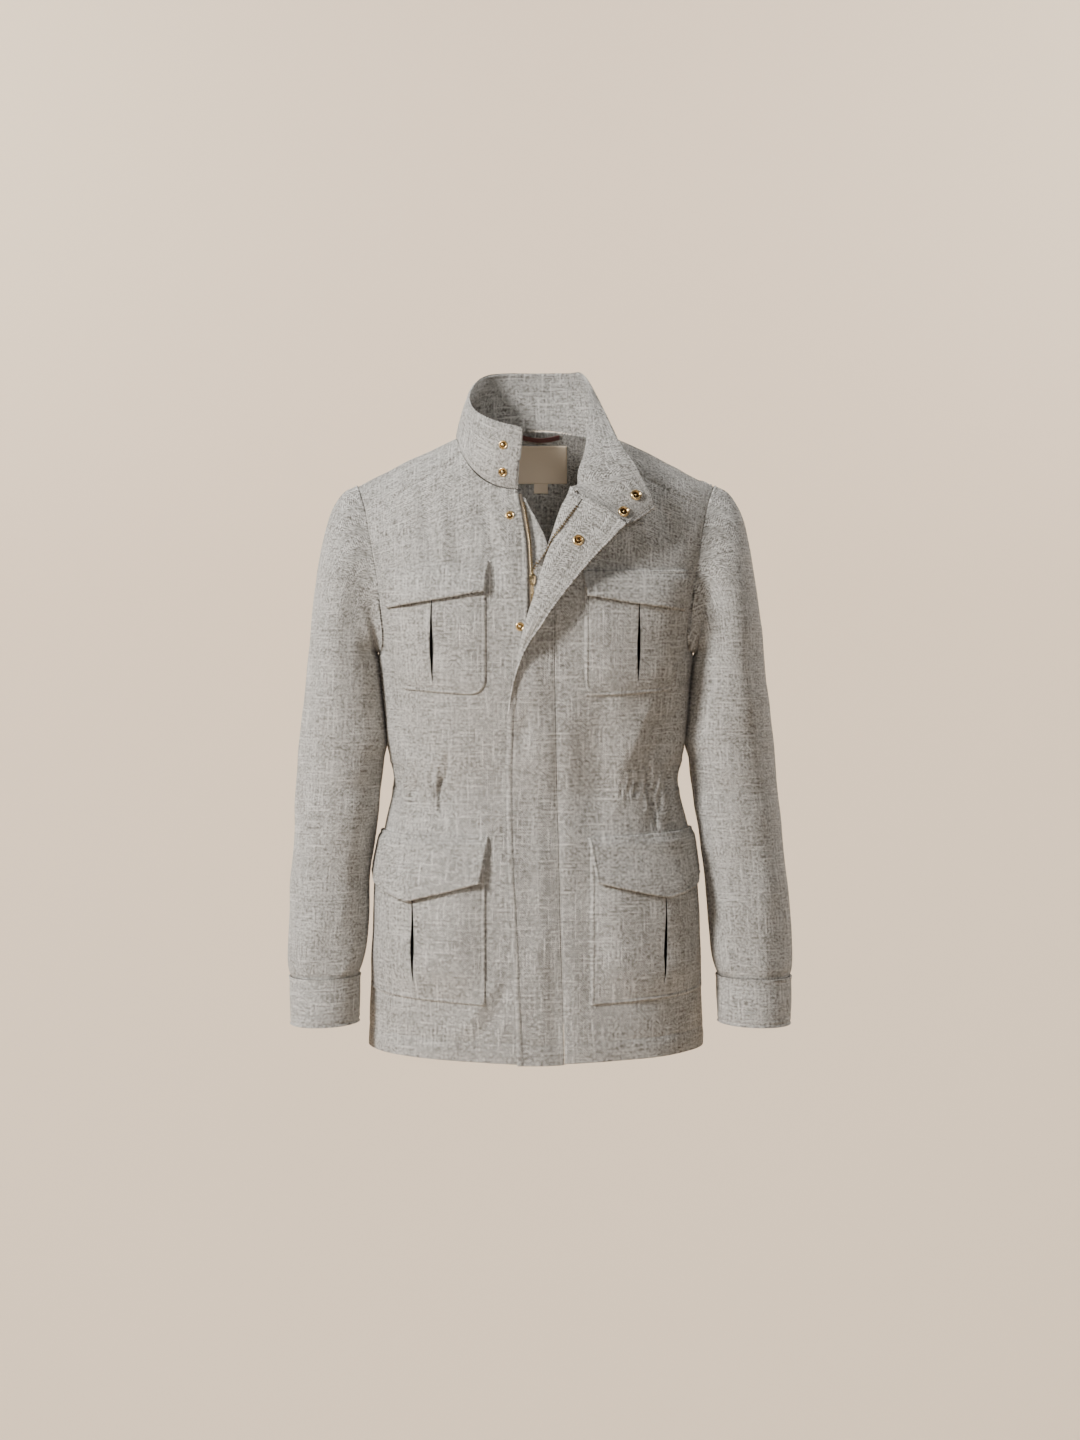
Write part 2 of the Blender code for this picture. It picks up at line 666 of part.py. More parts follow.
def yoke_edges():
    """Neck edge and outer edge of a yoke as (x, across): from the front seam round to the back."""
    half_gap = SEAM / 2
    outer = []
    for share in np.linspace(YOKE_SHARE_FRONT, 0, YOKE_ARM + 1):
        outer.append(ring_root(*along_path(ARMHOLE_FRONT, share), False))
    for share in np.linspace(0, YOKE_SHARE_BACK, YOKE_ARM + 1)[1:]:
        outer.append(ring_root(*along_path(ARMHOLE_BACK, share), True))
    outer = [(x - half_gap, across) for x, across in outer]
    corner_x = outer[-1][0]
    for share in np.linspace(1, 0, YOKE_BACK_COLS + 1)[1:]:
        outer.append(ring_root(corner_x * share, YOKE_SEAM_BACK_Z + half_gap, True))
    neck = [ring_root(*YOKE_SEAM_FRONT[0], False)]
    neck += [(x, math.sqrt(-h)) for x, h in NECK_BACK]
    inner = fan(neck, len(outer) - 1)
    outer[-1] = (half_gap, outer[-1][1])
    inner[-1] = (half_gap, inner[-1][1])
    first_x, first_z = YOKE_SEAM_FRONT[0]
    inner[0] = ring_root(first_x, first_z + half_gap, False)
    return inner, outer


# ---------------------------------------------------------------- rolled-open left front

ROLL_DIR = np.array((ROLL_TOP[0] - BREAK[0], ROLL_TOP[1] - BREAK[1]), float)
ROLL_DIR /= np.linalg.norm(ROLL_DIR)
ROLL_OUT = np.array((-ROLL_DIR[1], ROLL_DIR[0]))


def cover(x, z):
    """How far the placket's face stands out from the form."""
    return COVER * smooth((edge_x(PLACKET_SEAM, z) - x) / COVER_RUN)


def rolled(x, z):
    """Face of the left front: it lies on the form, and beyond the roll line it is turned back."""
    place = np.array((x, z), float) - np.array(BREAK, float)
    up, out = float(place @ ROLL_DIR), float(place @ ROLL_OUT)
    height = cover(x, z)
    turn = ROLL_TURN * smooth(up / ROLL_START)
    if out > 0 and turn > 1e-6:
        bent = min(out / ROLL_RADIUS, turn)
        rest = out - bent * ROLL_RADIUS
        reach = ROLL_RADIUS * math.sin(bent) + rest * math.cos(bent)
        height += ROLL_RADIUS * (1 - math.cos(bent)) + rest * math.sin(bent)
        x, z = np.array(BREAK) + up * ROLL_DIR + reach * ROLL_OUT
    base = face_point(x, z)
    return base + normal_of(face_point, x, z, 1) * height


def rolled_girth(girth, height):
    """The left front in the chart of the fronts."""
    point = on_body(1, False, girth, height)
    if point[0] > ROLL_REACH or point[2] < BREAK[1]:
        return point
    return rolled(point[0], point[2])


# ---------------------------------------------------------------- cut pieces

def make_fronts():
    right_grid = front_grid(RIGHT_EDGE_MIRRORED, -RIGHT_EDGE[1][1])
    chart_wall("front_right", lambda g, h: on_body(-1, False, g, h), right_grid, -1, CLOTH)
    left_grid = front_grid(PLACKET_SEAM, PLACKET_SEAM[0][1])
    left_grid[:, 0, 0] += SEAM / 2
    chart_wall("front_left", rolled_girth, left_grid, 1, CLOTH)


def placket_grid():
    """Closed-state x and z of the placket, from the hem to the neck and from edge to seam."""
    change = BREAK[1] - BREAK_EASE
    heights = list(np.linspace(HEM_SIDE - HEM_CENTRE_DROP, change, PLACKET_ROWS[0] + 1))
    heights += list(np.linspace(change, neck_z(0) - SEAM, PLACKET_ROWS[1] + 1))[1:]
    grid = []
    for z in heights:
        seam_x = edge_x(PLACKET_SEAM, z) - SEAM / 2
        edge = edge_x(LEFT_EDGE, z)
        grid.append([(mix(edge, seam_x, s), z) for s in np.linspace(0, 1, 6)])
    return grid


def make_placket():
    chart_wall("placket", rolled, placket_grid(), 1, TWO_PLY)


def make_backs():
    grid = back_grid()
    for side, name in ((-1, "back_right"), (1, "back_left")):
        chart_wall(name, lambda g, h, s=side: on_body(s, True, g, h), grid, -side, CLOTH)


def make_yokes():
    inner, outer = yoke_edges()
    seam = [ring_root(x, z + SEAM / 2, False) for x, z in fan(YOKE_SEAM_FRONT, FRONT_COLS[1])]
    seam[-1] = outer[0]
    shares = np.linspace(0, 1, FRONT_COLS[1] + 1)
    grid = []
    for share, on_seam in zip(shares, seam):
        row = [(mix(a[0], b[0], share), mix(a[1], b[1], share)) for a, b in zip(inner, outer)]
        bow = np.array(on_seam) - row[0]
        grid.append([tuple(np.array(p) + bow * max(1 - j / SEAM_EASE, 0))
                     for j, p in enumerate(row)])
    for side, name in ((-1, "yoke_right"), (1, "yoke_left")):
        def chart(x, across, s=side):
            return ridge_point(s, x, across)
        face, lining = [], []
        for row in grid:
            points = [chart(x, across) for x, across in row]
            normals = [normal_of(chart, x, across, side, 0.05) for x, across in row]
            face.append(points)
            lining.append([p - n * CLOTH for p, n in zip(points, normals)])
        close_wall(name, face, lining)


def sleeve_ring(side, row, count_angles):
    """One ring of a sleeve, its angle running from the outside through the front."""
    outer_x, outer_z, inner_x, inner_z, middle_y, half_depth = row
    hang = smooth((SWING_FROM - (outer_z + inner_z) / 2) / (SWING_FROM - SWING_TO))
    if side > 0:
        outer_x += SWING_OUT * hang
        inner_x += SWING_IN * hang
    outer = np.array((side * outer_x, middle_y, outer_z))
    inner = np.array((side * inner_x, middle_y, inner_z))
    centre, arm = (outer + inner) / 2, (outer - inner) / 2
    return [centre + arm * math.cos(a) - np.array((0, half_depth, 0)) * math.sin(a)
            for a in count_angles]


def armhole_loop(side):
    """Points and normals of the armhole on the form, and each one's angle round the sleeve."""
    shares = []
    for share in np.linspace(0, YOKE_SHARE_FRONT, YOKE_ARM + 1)[:-1]:
        shares.append((share, False))
    for share in np.linspace(YOKE_SHARE_FRONT, 1, ARMHOLE_ROWS + 1)[:-1]:
        shares.append((share, False))
    for share in np.linspace(1, YOKE_SHARE_BACK, ARMHOLE_ROWS + 1)[:-1]:
        shares.append((share, True))
    for share in np.linspace(YOKE_SHARE_BACK, 0, YOKE_ARM + 1)[:-1]:
        shares.append((share, True))
    points, normals, angles = [], [], []
    for share, back in shares:
        path = ARMHOLE_BACK if back else ARMHOLE_FRONT
        x, z = along_path(path, share)
        height = min(ring_height(x, z), -0.01)
        girth = side_girth(height, back) if share >= 1 else girth_of(x, height, back)
        points.append(on_body(side, back, girth, height))

        def chart(g, h, s=side, b=back):
            return on_body(s, b, g, min(h, -0.001))
        normal = normal_of(chart, girth, height, 1, 0.2)
        radial = points[-1] * np.array((1.0, 1.0, 0.0))
        if normal @ (radial + np.array((0, 0, 40.0))) < 0:
            normal = -normal
        normals.append(normal)
        angles.append(math.pi * share if not back else 2 * math.pi - math.pi * share)
    return np.array(points), np.array(normals), angles


def sleeve_fold(share, angle):
    turn = angle / (2 * math.pi)
    total = 0.0
    for down, round_at, long, wide, slant, depth in SLEEVE_FOLDS:
        across = (turn - round_at - slant * (share - down)) / wide
        length = (share - down) / long
        total += depth * math.exp(-across * across - length * length)
    return total


def grid_normals(grid, tube):
    grid = np.array(grid, float)
    rows, cols = grid.shape[:2]
    normals = np.zeros_like(grid)
    for i in range(rows):
        for j in range(cols):
            if tube:
                around = grid[i, (j + 1) % cols] - grid[i, (j - 1) % cols]
            else:
                around = grid[i, min(j + 1, cols - 1)] - grid[i, max(j - 1, 0)]
            along = grid[min(i + 1, rows - 1), j] - grid[max(i - 1, 0), j]
            normal = np.cross(around, along)
            normals[i, j] = normal / max(np.linalg.norm(normal), 1e-9)
    return normals


def make_sleeves():
    for side, word in ((-1, "right"), (1, "left")):
        loop, loop_normals, angles = armhole_loop(side)
        start = np.array(sleeve_ring(side, SLEEVE[0], angles))
        numbered = tuple((k, *row) for k, row in enumerate(SLEEVE))
        rings = []
        for place in np.linspace(0, len(SLEEVE) - 1, SLEEVE_ROWS + 1):
            row = hermite(numbered, place)[1:]
            ring = np.array(sleeve_ring(side, row, angles))
            own = max(1 - place / ARMHOLE_BLEND, 0) ** 2
            rings.append(ring + (loop - start) * own)
        rings = np.array(rings)
        normals = grid_normals(rings, True) * -side
        for i, ring in enumerate(rings):
            share = i / SLEEVE_ROWS
            settle = smooth(share / 0.12) * smooth((1 - share) / 0.03)
            for j, angle in enumerate(angles):
                ring[j] += normals[i, j] * sleeve_fold(share, angle) * settle
        tangent = np.roll(loop, -1, axis=0) - np.roll(loop, 1, axis=0)
        away = np.cross(tangent, loop_normals)
        away /= np.linalg.norm(away, axis=1)[:, None]
        toward = np.sum(away * (loop.mean(axis=0) - loop), axis=1)
        away *= np.sign(toward)[:, None]
        rings[0] = loop + away * SEAM
        normals[0] = loop_normals
        close_wall("sleeve_" + word, rings, rings - normals * CLOTH, tube=True)
        turn = np.linspace(0, 2 * math.pi, CUFF_COLS + 1)[:-1]
        cuff = np.array([sleeve_ring(side, row, turn) for row in CUFF])
        cuff_normals = grid_normals(cuff, True) * -side
        cuff_normals[:, :, 2] = 0
        cuff_normals /= np.linalg.norm(cuff_normals, axis=2)[:, :, None]
        close_wall("cuff_" + word, cuff, cuff - cuff_normals * TWO_PLY, tube=True)


# ---------------------------------------------------------------- collar

def neck_stations(side):
    """Seam points from the centre back to the front end: way along the seam, and the point."""
    inner, _ = yoke_edges()
    stations = []
    for x, across in inner[::-1]:
        point = ridge_point(side, x, across)
        normal = normal_of(lambda a, b: ridge_point(side, a, b), x, across, side, 0.05)
        stations.append((point, point - normal * CLOTH / 2))
    end_x = -RIGHT_EDGE[1][1] if side < 0 else PLACKET_SEAM[0][1]
    neck = [p for p in NECK_FRONT if p[0] > end_x] + [(end_x, neck_z(end_x))]
    for x, z in fan(neck, FRONT_COLS[0])[1:]:
        flat = face_point(side * x, z)
        if side < 0:
            stations.append((flat, flat))
        else:
            stations.append((flat, rolled(x, z) - normal_of(rolled, x, z, 1) * CLOTH / 2))
    if side > 0:
        for x, z in placket_grid()[-1][-2::-1]:
            middle = rolled(x, z) - normal_of(rolled, x, z, 1) * TWO_PLY / 2
            stations.append((face_point(x, z), middle))
    along, previous, found = 0.0, stations[0][0], []
    for flat, seam in stations:
        along += float(np.linalg.norm(flat - previous))
        previous = flat
        found.append((along, seam))
    return found


def collar_curve(side, along, seam):
    """Points of the collar's middle surface from the neck seam to its upper edge."""
    row = hermite(COLLAR_RIGHT if side < 0 else COLLAR_LEFT, along)
    turn = np.array((side, 1, 1))
    middle, top = row[1:4] * turn, row[4:7] * turn
    start = seam + (middle - seam) / np.linalg.norm(middle - seam) * COLLAR_GAP
    pull = 2 * middle - (start + top) / 2
    return [start * (1 - v) ** 2 + pull * 2 * v * (1 - v) + top * v * v
            for v in np.linspace(0, 1, COLLAR_ROWS + 1)]


def collar_grid():
    right = [collar_curve(-1, along, seam) for along, seam in neck_stations(-1)]
    left = [collar_curve(1, along, seam) for along, seam in neck_stations(1)]
    joined = right[::-1]
    joined[-1] = [(a + b) / 2 for a, b in zip(right[0], left[0])]
    return np.array(joined + left[1:])


def make_collar():
    middle = collar_grid()
    normals = grid_normals(middle, False)
    close_wall("collar", middle + normals * TWO_PLY / 2, middle - normals * TWO_PLY / 2)
    return middle, normals


# ---------------------------------------------------------------- pockets

def girth_height(girth, z):
    """The ring whose point at this girth lies at the height z."""
    height = z
    for _ in range(4):
        wide, _, girths = quarter_ring(round(height, 3), False)
        height = ring_height(float(np.interp(girth, girths, wide)), z)
    return height


def pocket_chart(side):
    return lambda girth, z: on_body(side, False, girth, girth_height(girth, z))


def pocket_bump(spot, across, down):
    """How far the bag stands out, at shares of its width and height."""
    edge = smooth(min(across, 1 - across) / 0.2)
    return spot.bulge * edge * smooth((1 - down) / 0.22) * (0.3 + 0.7 * smooth(down / 0.4))


def pocket_girth(spot, across, z, inset):
    """Girth of a place on the pocket: its outer edge stops short of the side seam."""
    first = spot.inner + inset
    last = min(spot.inner + spot.width - inset, side_girth(round(z), False) - SIDE_MARGIN)
    return mix(first, last, across)


def bag_columns(spot):
    """Shares of the width: even columns, finer at round corners and at the slit."""
    width = spot.width - 2 * POCKET_INSET
    slit = spot.slit - POCKET_INSET
    left = [spot.corner * 0.3] + list(np.arange(BAG_STEP, slit - 8, BAG_STEP))
    right = [width - place for place in left]
    right = [place for place in right if place > slit + 8]
    places = [0] + left + [slit - SLIT_HALF, slit, slit + SLIT_HALF] + right[::-1] + [width]
    return [place / width for place in places]


def bag_heights(spot, across):
    """Mouth and bottom of the pocket bag at a share of its width, with its rounded corners."""
    width = spot.width - 2 * POCKET_INSET
    mouth = mix(spot.seam_in, spot.seam_out, across) - POCKET_DROP
    bottom = mix(spot.bottom_in, spot.bottom_out, across)
    inside = min(across, 1 - across) * width
    short = max(spot.corner - inside, 0) / spot.corner
    return mouth, bottom + spot.corner * (1 - math.sqrt(max(1 - short * short, 0)))


def make_pocket(spot, word):
    columns = bag_columns(spot)
    width = spot.width - 2 * POCKET_INSET
    slit_column = int(np.argmin([abs(c * width - spot.slit + POCKET_INSET) for c in columns]))
    grid = []
    for down in BAG_DOWNS:
        row = []
        for across in columns:
            mouth, bottom = bag_heights(spot, across)
            z = mix(mouth, bottom, down)
            row.append((pocket_girth(spot, across, z, POCKET_INSET), z))
        grid.append(row)

    def lift(i, j):
        return EASE + POCKET_CLOTH + pocket_bump(spot, columns[j], BAG_DOWNS[i])

    def dent(i, j):
        z = grid[i][j][1]
        return SLIT_DEPTH if j == slit_column and spot.slit_bottom < z else 0

    chart_wall(f"{spot.name}_pocket_{word}", pocket_chart(spot.side), grid, spot.side,
               POCKET_CLOTH, lift, dent=dent)


def flap_depth(spot, across):
    if across < 0.5:
        return mix(spot.flap_in, spot.flap_point, across * 2)
    return mix(spot.flap_point, spot.flap_out, across * 2 - 1)


def make_flap(spot, word):
    acrosses = np.linspace(0, 1, FLAP_COLS[spot.name] + 1)
    hinge = POCKET_DROP - HINGE_LIFT
    grid, downs = [], FLAP_DOWNS
    for down in downs:
        row = []
        for across in acrosses:
            seam = mix(spot.seam_in, spot.seam_out, across)
            depth = flap_depth(spot, across)
            way = hinge * down if down <= 1 else mix(hinge, depth, down - 1)
            inset = spot.slant * (1 - across) ** 2 * way / depth
            row.append((pocket_girth(spot, across, seam - way, 0) + inset, seam - way))
        grid.append(row)
    width = spot.width - 2 * POCKET_INSET

    def lift(i, j):
        outer = smooth((1 - acrosses[j]) / 0.3)
        on_bag = EASE + POCKET_CLOTH + EASE
        if downs[i] <= 1:
            return TWO_PLY + mix(EASE, on_bag + 0.3 * spot.bulge * outer, downs[i])
        girth, z = grid[i][j]
        across = min(max((girth - spot.inner - POCKET_INSET) / width, 0), 1)
        mouth, bottom = bag_heights(spot, across)
        bump = pocket_bump(spot, across, min(max((mouth - z) / (mouth - bottom), 0), 1))
        under = max(bump, 0.5 * spot.bulge * outer)
        stand = (FLAP_STAND * outer + 0.6) * (downs[i] - 1)
        return TWO_PLY + on_bag + under + stand

    chart_wall(f"{spot.name}_flap_{word}", pocket_chart(spot.side), grid, spot.side, TWO_PLY, lift)


# ---------------------------------------------------------------- zip, snaps and neck trim

def strip(name, left, right, bottom, top, face, thickness, finish="tape"):
    """A flat strip under the fronts: left and right edges as tables of x at a height."""
    grid = [[(mix(edge_x(left, z), edge_x(right, z), s), z) for s in (0, 0.5, 1)]
            for z in np.linspace(bottom, top, TAPE_ROWS + 1)]
    chart_wall(name, face_point, grid, 1, thickness, lambda i, j: face, finish)


def shifted(table, way):
    return tuple((z, x + way) for z, x in table)


def make_zip():
    under = -CLOTH - EASE
    strip("zip_tape_right", shifted(RIGHT_EDGE, TAPE_REACH - TAPE_WIDTH),
          shifted(RIGHT_EDGE, TAPE_REACH), ZIP_BOTTOM, TAPE_TOP, under, TAPE)
    strip("zip_guard", GUARD_RIGHT, GUARD_LEFT, ZIP_BOTTOM - GUARD_DROP, GUARD_TOP,
          under - TAPE - EASE, CLOTH, "cloth")

    def left_tape(x, z):
        share = smooth((z - TAPE_PARTS) / TAPE_OPENS)
        flat = face_point(x, z) + normal_of(face_point, x, z, 1) * under
        if share == 0:
            return flat
        turned_back = rolled(x, z) - normal_of(rolled, x, z, 1) * (TWO_PLY + TAPE_EASE)
        return mix(flat, turned_back, share)

    heights = list(np.linspace(ZIP_BOTTOM, SLIDER[1], LEFT_TAPE_ROWS[0] + 1))
    heights += list(np.linspace(SLIDER[1], LEFT_TAPE_TOP, LEFT_TAPE_ROWS[1] + 2))[1:]
    grid = [[(mix(*LEFT_TAPE, smooth((z - TAPE_PARTS) / TAPE_OPENS)) + TAPE_WIDTH * s, z)
             for s in (0, 0.5, 1)] for z in heights]
    chart_wall("zip_tape_left", left_tape, grid, 1, TAPE, None, "tape")
    x, z = SLIDER
    grid = [[(x + SLIDER_HALF[0] * a, z + SLIDER_HALF[1] * b) for a in (-1, -0.6, 0.6, 1)]
            for b in (-1, -0.5, 0.7, 1)]

    def crown(i, j):
        edge = j in (0, 3) or i in (0, 3)
        return under + REST + SLIDER_HEIGHT - (SLIDER_BEVEL if edge else 0)

    face, lining = [], []
    for i, row in enumerate(grid):
        normals = [normal_of(face_point, a, b, 1) for a, b in row]
        points = [face_point(a, b) for a, b in row]
        face.append([p + n * crown(i, j) for j, (p, n) in enumerate(zip(points, normals))])
        lining.append([p + n * (under + REST) for p, n in zip(points, normals)])
    close_wall("zip_slider", face, lining, "brass")


def collar_spot(middle, normals, x, z):
    """The collar's visible face nearest to x and z in the front view."""
    best = None
    for i in range(len(middle) - 1):
        for j in range(COLLAR_ROWS):
            for s in (0.0, 0.25, 0.5, 0.75):
                for t in (0.0, 0.25, 0.5, 0.75):
                    corners = (middle[i][j], middle[i + 1][j], middle[i][j + 1],
                               middle[i + 1][j + 1])
                    point = mix(mix(corners[0], corners[1], s), mix(corners[2], corners[3], s), t)
                    if point[1] > COLLAR_FRONT_Y:
                        continue
                    far = (point[0] - x) ** 2 + (point[2] - z) ** 2
                    if best is None or far < best[0]:
                        best = (far, point, normals[i][j])
    _, point, normal = best
    if normal[1] > 0:
        normal = -normal
    return point + normal * (TWO_PLY / 2 + SOCKET_EASE), normal


def make_snaps(middle, normals):
    for number, (x, z) in enumerate(FRONT_STUDS, 1):
        normal = normal_of(face_point, x, z, 1)
        turned(f"stud_front_{number}", STUD, face_point(x, z) + normal * REST, normal)
    for number, (x, z) in enumerate(COLLAR_STUDS, 1):
        point, normal = collar_spot(middle, normals, x, z)
        turned(f"stud_collar_{number}", STUD, point, normal)
    for number, (x, z) in enumerate(COLLAR_SOCKETS, 1):
        point, normal = collar_spot(middle, normals, x, z)
        turned(f"socket_collar_{number}", SOCKET, point, normal)
    x, z = PLACKET_SOCKET
    normal = -normal_of(rolled, x, z, 1)
    turned("socket_placket", SOCKET, rolled(x, z) + normal * (TWO_PLY + EASE), normal)


def make_neck_trim():
    inside = -CLOTH - EASE
    for name, (left, right, top, bottom), stand, finish in (
            ("label", LABEL, 0, "label"), ("size_tab", SIZE_TAB, 0, "label"),
            ("hanger_loop", LOOP, LOOP_STAND, "loop")):
        shares = np.linspace(0, 1, 7)
        grid = [[(mix(left, right, s), z) for s in shares] for z in (bottom, (top + bottom) / 2, top)]
        chart_wall(name, lambda x, z: face_point(x, z, True), grid, -1, TAPE,
                   lambda i, j, h=stand: inside - h * math.sin(math.pi * shares[j]), finish)


# ---------------------------------------------------------------- start

def clear_scene():
    for obj in list(bpy.data.objects):
        bpy.data.objects.remove(obj, do_unlink=True)


def main():
    clear_scene()
    make_fronts()
    make_placket()
    make_backs()
    make_yokes()
    make_sleeves()
    collar, collar_normals = make_collar()
    for spot in POCKETS:
        word = "right" if spot.side < 0 else "left"
        make_pocket(spot, word)
        make_flap(spot, word)
    make_zip()
    make_snaps(collar, collar_normals)
    make_neck_trim()


main()
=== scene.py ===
"""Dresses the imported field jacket: washed herringbone linen, brass zip and snaps, studio light.

Lengths in the tables are millimetres and the meshes are in metres. X runs to the wearer's left,
Y to the back and Z up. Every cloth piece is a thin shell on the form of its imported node, with a
UV map whose units are metres along the cloth, so that the weave has one scale everywhere.
"""

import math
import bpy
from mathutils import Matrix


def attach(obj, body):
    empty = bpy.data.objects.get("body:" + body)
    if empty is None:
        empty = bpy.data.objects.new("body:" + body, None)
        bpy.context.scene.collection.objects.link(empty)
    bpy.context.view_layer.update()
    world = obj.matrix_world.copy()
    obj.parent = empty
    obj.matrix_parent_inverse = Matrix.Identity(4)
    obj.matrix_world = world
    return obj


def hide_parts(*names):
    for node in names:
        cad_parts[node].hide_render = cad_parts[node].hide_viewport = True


bl_info = {
    "name": "Field Jacket",
    "version": (1, 0, 0),
    "blender": (4, 5, 0),
    "location": "3D Viewport > Sidebar > Field Jacket",
    "description": "Builds a field jacket of washed linen on its packed model",
    "category": "Object",
}

from collections import namedtuple

import bpy
import numpy as np
from mathutils import Vector

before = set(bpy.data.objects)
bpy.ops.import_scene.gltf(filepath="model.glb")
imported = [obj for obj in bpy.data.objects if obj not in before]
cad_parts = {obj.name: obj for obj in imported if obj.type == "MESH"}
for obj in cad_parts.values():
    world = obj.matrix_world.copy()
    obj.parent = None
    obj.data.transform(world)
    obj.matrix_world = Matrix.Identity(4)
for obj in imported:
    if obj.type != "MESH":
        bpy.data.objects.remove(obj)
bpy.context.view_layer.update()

MM = 0.001
SIDES = ((-1, "right"), (1, "left"))
WEAVE = "weave"      # the UV map that carries the cloth's own lengths

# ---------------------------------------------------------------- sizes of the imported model

CLOTH, TWO_PLY, POCKET_CLOTH, TAPE = 1.6, 2.4, 2.0, 0.8
SEAM, EASE, REST = 0.4, 0.9, 0.4
UNDER = -CLOTH - EASE            # where things lie behind a front or back
MEET, OVERLAP = 0.02, 0.3        # the back's halves meet, and its top reaches under the yoke

# Height, half width, depth to the front, depth to the back, squareness
BODY = (
    (40, 223, 110, 102, 3.0), (0, 223, 112, 104, 3.0), (-60, 219, 114, 108, 2.9),
    (-130, 211.5, 120, 112, 2.7), (-200, 203, 127, 114, 2.5), (-265, 194.5, 129, 112, 2.4),
    (-330, 188.5, 125, 106, 2.35), (-390, 183, 118, 100, 2.3), (-432, 179, 113, 97, 2.3),
    (-485, 190.5, 117, 102, 2.3), (-560, 201, 123, 112, 2.3), (-640, 206.5, 128, 119, 2.3),
    (-770, 211, 133, 124, 2.3),
)
FRONT_DOME, BACK_DOME = 230, 120
NECK_RISE, SHOULDER_FALL, SHOULDER_ROUND, SLOPE_FADE = 30, 0.53, 60, 260
ARMHOLE_FRONT = ((223, -58.5), (217, -72), (211.5, -90), (205, -120), (199, -155), (193, -190),
                 (188.5, -222), (187, -244), (189, -258), (194.5, -264))
ARMHOLE_BACK = ((223, -58.5), (216, -74), (209, -94), (201, -122), (195, -155), (190.5, -190),
                (188, -222), (187.5, -244), (189.5, -258), (194.5, -264))
ARMHOLE_BOTTOM, ARMHOLE_MIDDLE, ARMHOLE_GAP = -264, -160, 0.5
YOKE_SEAM_FRONT = ((92, -18), (120, -40), (167, -68), (211.5, -90))
YOKE_SEAM_BACK_Z = -112
NECK_FRONT = ((92, -18), (81, -35), (69, -47.5), (56, -56), (43, -61), (22, -64), (0, -65.5),
              (-36, -67))
NECK_ENDS = {-1: 22, 1: 25}      # how near to the middle the neck of each front reaches
NECK_BACK = ((100, 0), (97, -2), (80, -7.5), (45, -15), (0, -18.5))
HEM_SIDE, HEM_CENTRE_DROP = -755, 6
RIGHT_EDGE = ((-30, -22), (-64, -22), (-90, -17), (-130, -11), (-200, -9), (-800, -9))
LEFT_EDGE = ((-30, -46), (-64, -46), (-110, -40), (-160, -36), (-212, -33.5), (-240, -30),
             (-256, -28.5), (-290, -28.3), (-316, -30.5), (-340, -33), (-372, -34.6), (-500, -34),
             (-620, -28), (-800, -21))
PLACKET_SEAM = ((-30, 25), (-250, 23), (-390, 25), (-600, 30), (-800, 36))
COVER, COVER_RUN = 6.0, 28
BREAK_Z = -304     # where the rolled-open top starts to turn
ROLL_REACH = 90
# The fold of the rolled-open top: height, x, how far it is turned in degrees, and its radius
ROLL = ((-400, -38, 0, 1.4), (-376, -36, 0, 1.4), (-350, -32.6, 40, 1.4), (-330, -29.6, 85, 1.5),
        (-304, -24.8, 130, 1.9), (-280, -20, 150, 2.7), (-256, -14, 165, 4), (-233, -6.6, 171, 5.8),
        (-200, 4.24, 171, 7), (-61, 50, 171, 7), (60, 89.8, 171, 7))

# Sleeve rings: outer x and z, inner x and z, middle y, half depth
SLEEVE = (
    (223, -58.5, 194.5, -264, 0, 58), (239, -67, 200.5, -264, 0, 59), (253, -89, 203, -266, 0, 61),
    (262.5, -122, 203.5, -272, 0, 63.5), (270, -165, 202, -281, 0, 66),
    (277, -215, 199, -294, 1, 68.5), (282, -265, 196.5, -311, 2, 70),
    (288, -318, 194.5, -334, 3, 70), (293.5, -368, 192, -368, 4, 68.5),
    (297, -412, 194, -408, 3, 66.5), (300, -455, 198.5, -452, 1, 64.5),
    (302, -500, 203, -498, -3, 62), (305, -545, 208, -543, -9, 59),
    (306.5, -590, 210, -588, -16, 56.5), (307.5, -630, 213.5, -628, -24, 53),
    (306, -653, 217.5, -650, -30, 49.5), (303, -665.5, 222, -663.5, -33, 46.5),
)
CUFF = ((304, -666.5, 221, -664.5, -33.2, 47.5), (304.5, -685, 221, -683, -36, 48),
        (304, -705, 221.5, -703, -40, 47.5), (303, -724, 222.5, -721, -43, 46.5))
ARMHOLE_BLEND, SWING_OUT, SWING_IN, SWING_FROM, SWING_TO = 5, 11, 6, -330, -660

# Collar: way along the neck seam, middle line x, y, z, upper edge x, y, z
COLLAR_GAP = 1.2
COLLAR_RIGHT = (
    (0, 0, 60, 48, 0, 58, 83), (45, 43, 55, 47, 40, 53, 83), (87, 73, 37, 42, 64, 37, 79),
    (128, 89, 4, 33, 77, 5, 66), (166, 91, -37, 16, 82, -36, 46), (204, 78, -68, -3, 72, -64, 31),
    (238, 54, -87, -19, 48, -82, 19), (276, 20, -94, -27, 16, -92, 11),
)
COLLAR_LEFT = (
    (0, 0, 60, 48, 0, 58, 83), (45, 43, 55, 47, 40, 53, 83), (87, 71, 40, 46, 60, 42, 81),
    (128, 67, 6, 52, 80, -4, 44), (166, 66, -34, 18, 94, -44, 12),
    (204, 61, -70, -18, 105, -68, -12), (238, 59, -97, -46, 120, -84, -34),
    (271, 86, -111, -68, 131, -92, -52), (300, 104, -116, -84, 138, -97, -66),
    (344, 117.5, -118, -101.5, 143.5, -100, -83.5),
)
Pocket = namedtuple("Pocket", "name side inner width seam_in seam_out bottom_in bottom_out "
                    "flap_in flap_point flap_out slant slit slit_top slit_bottom bulge corner")
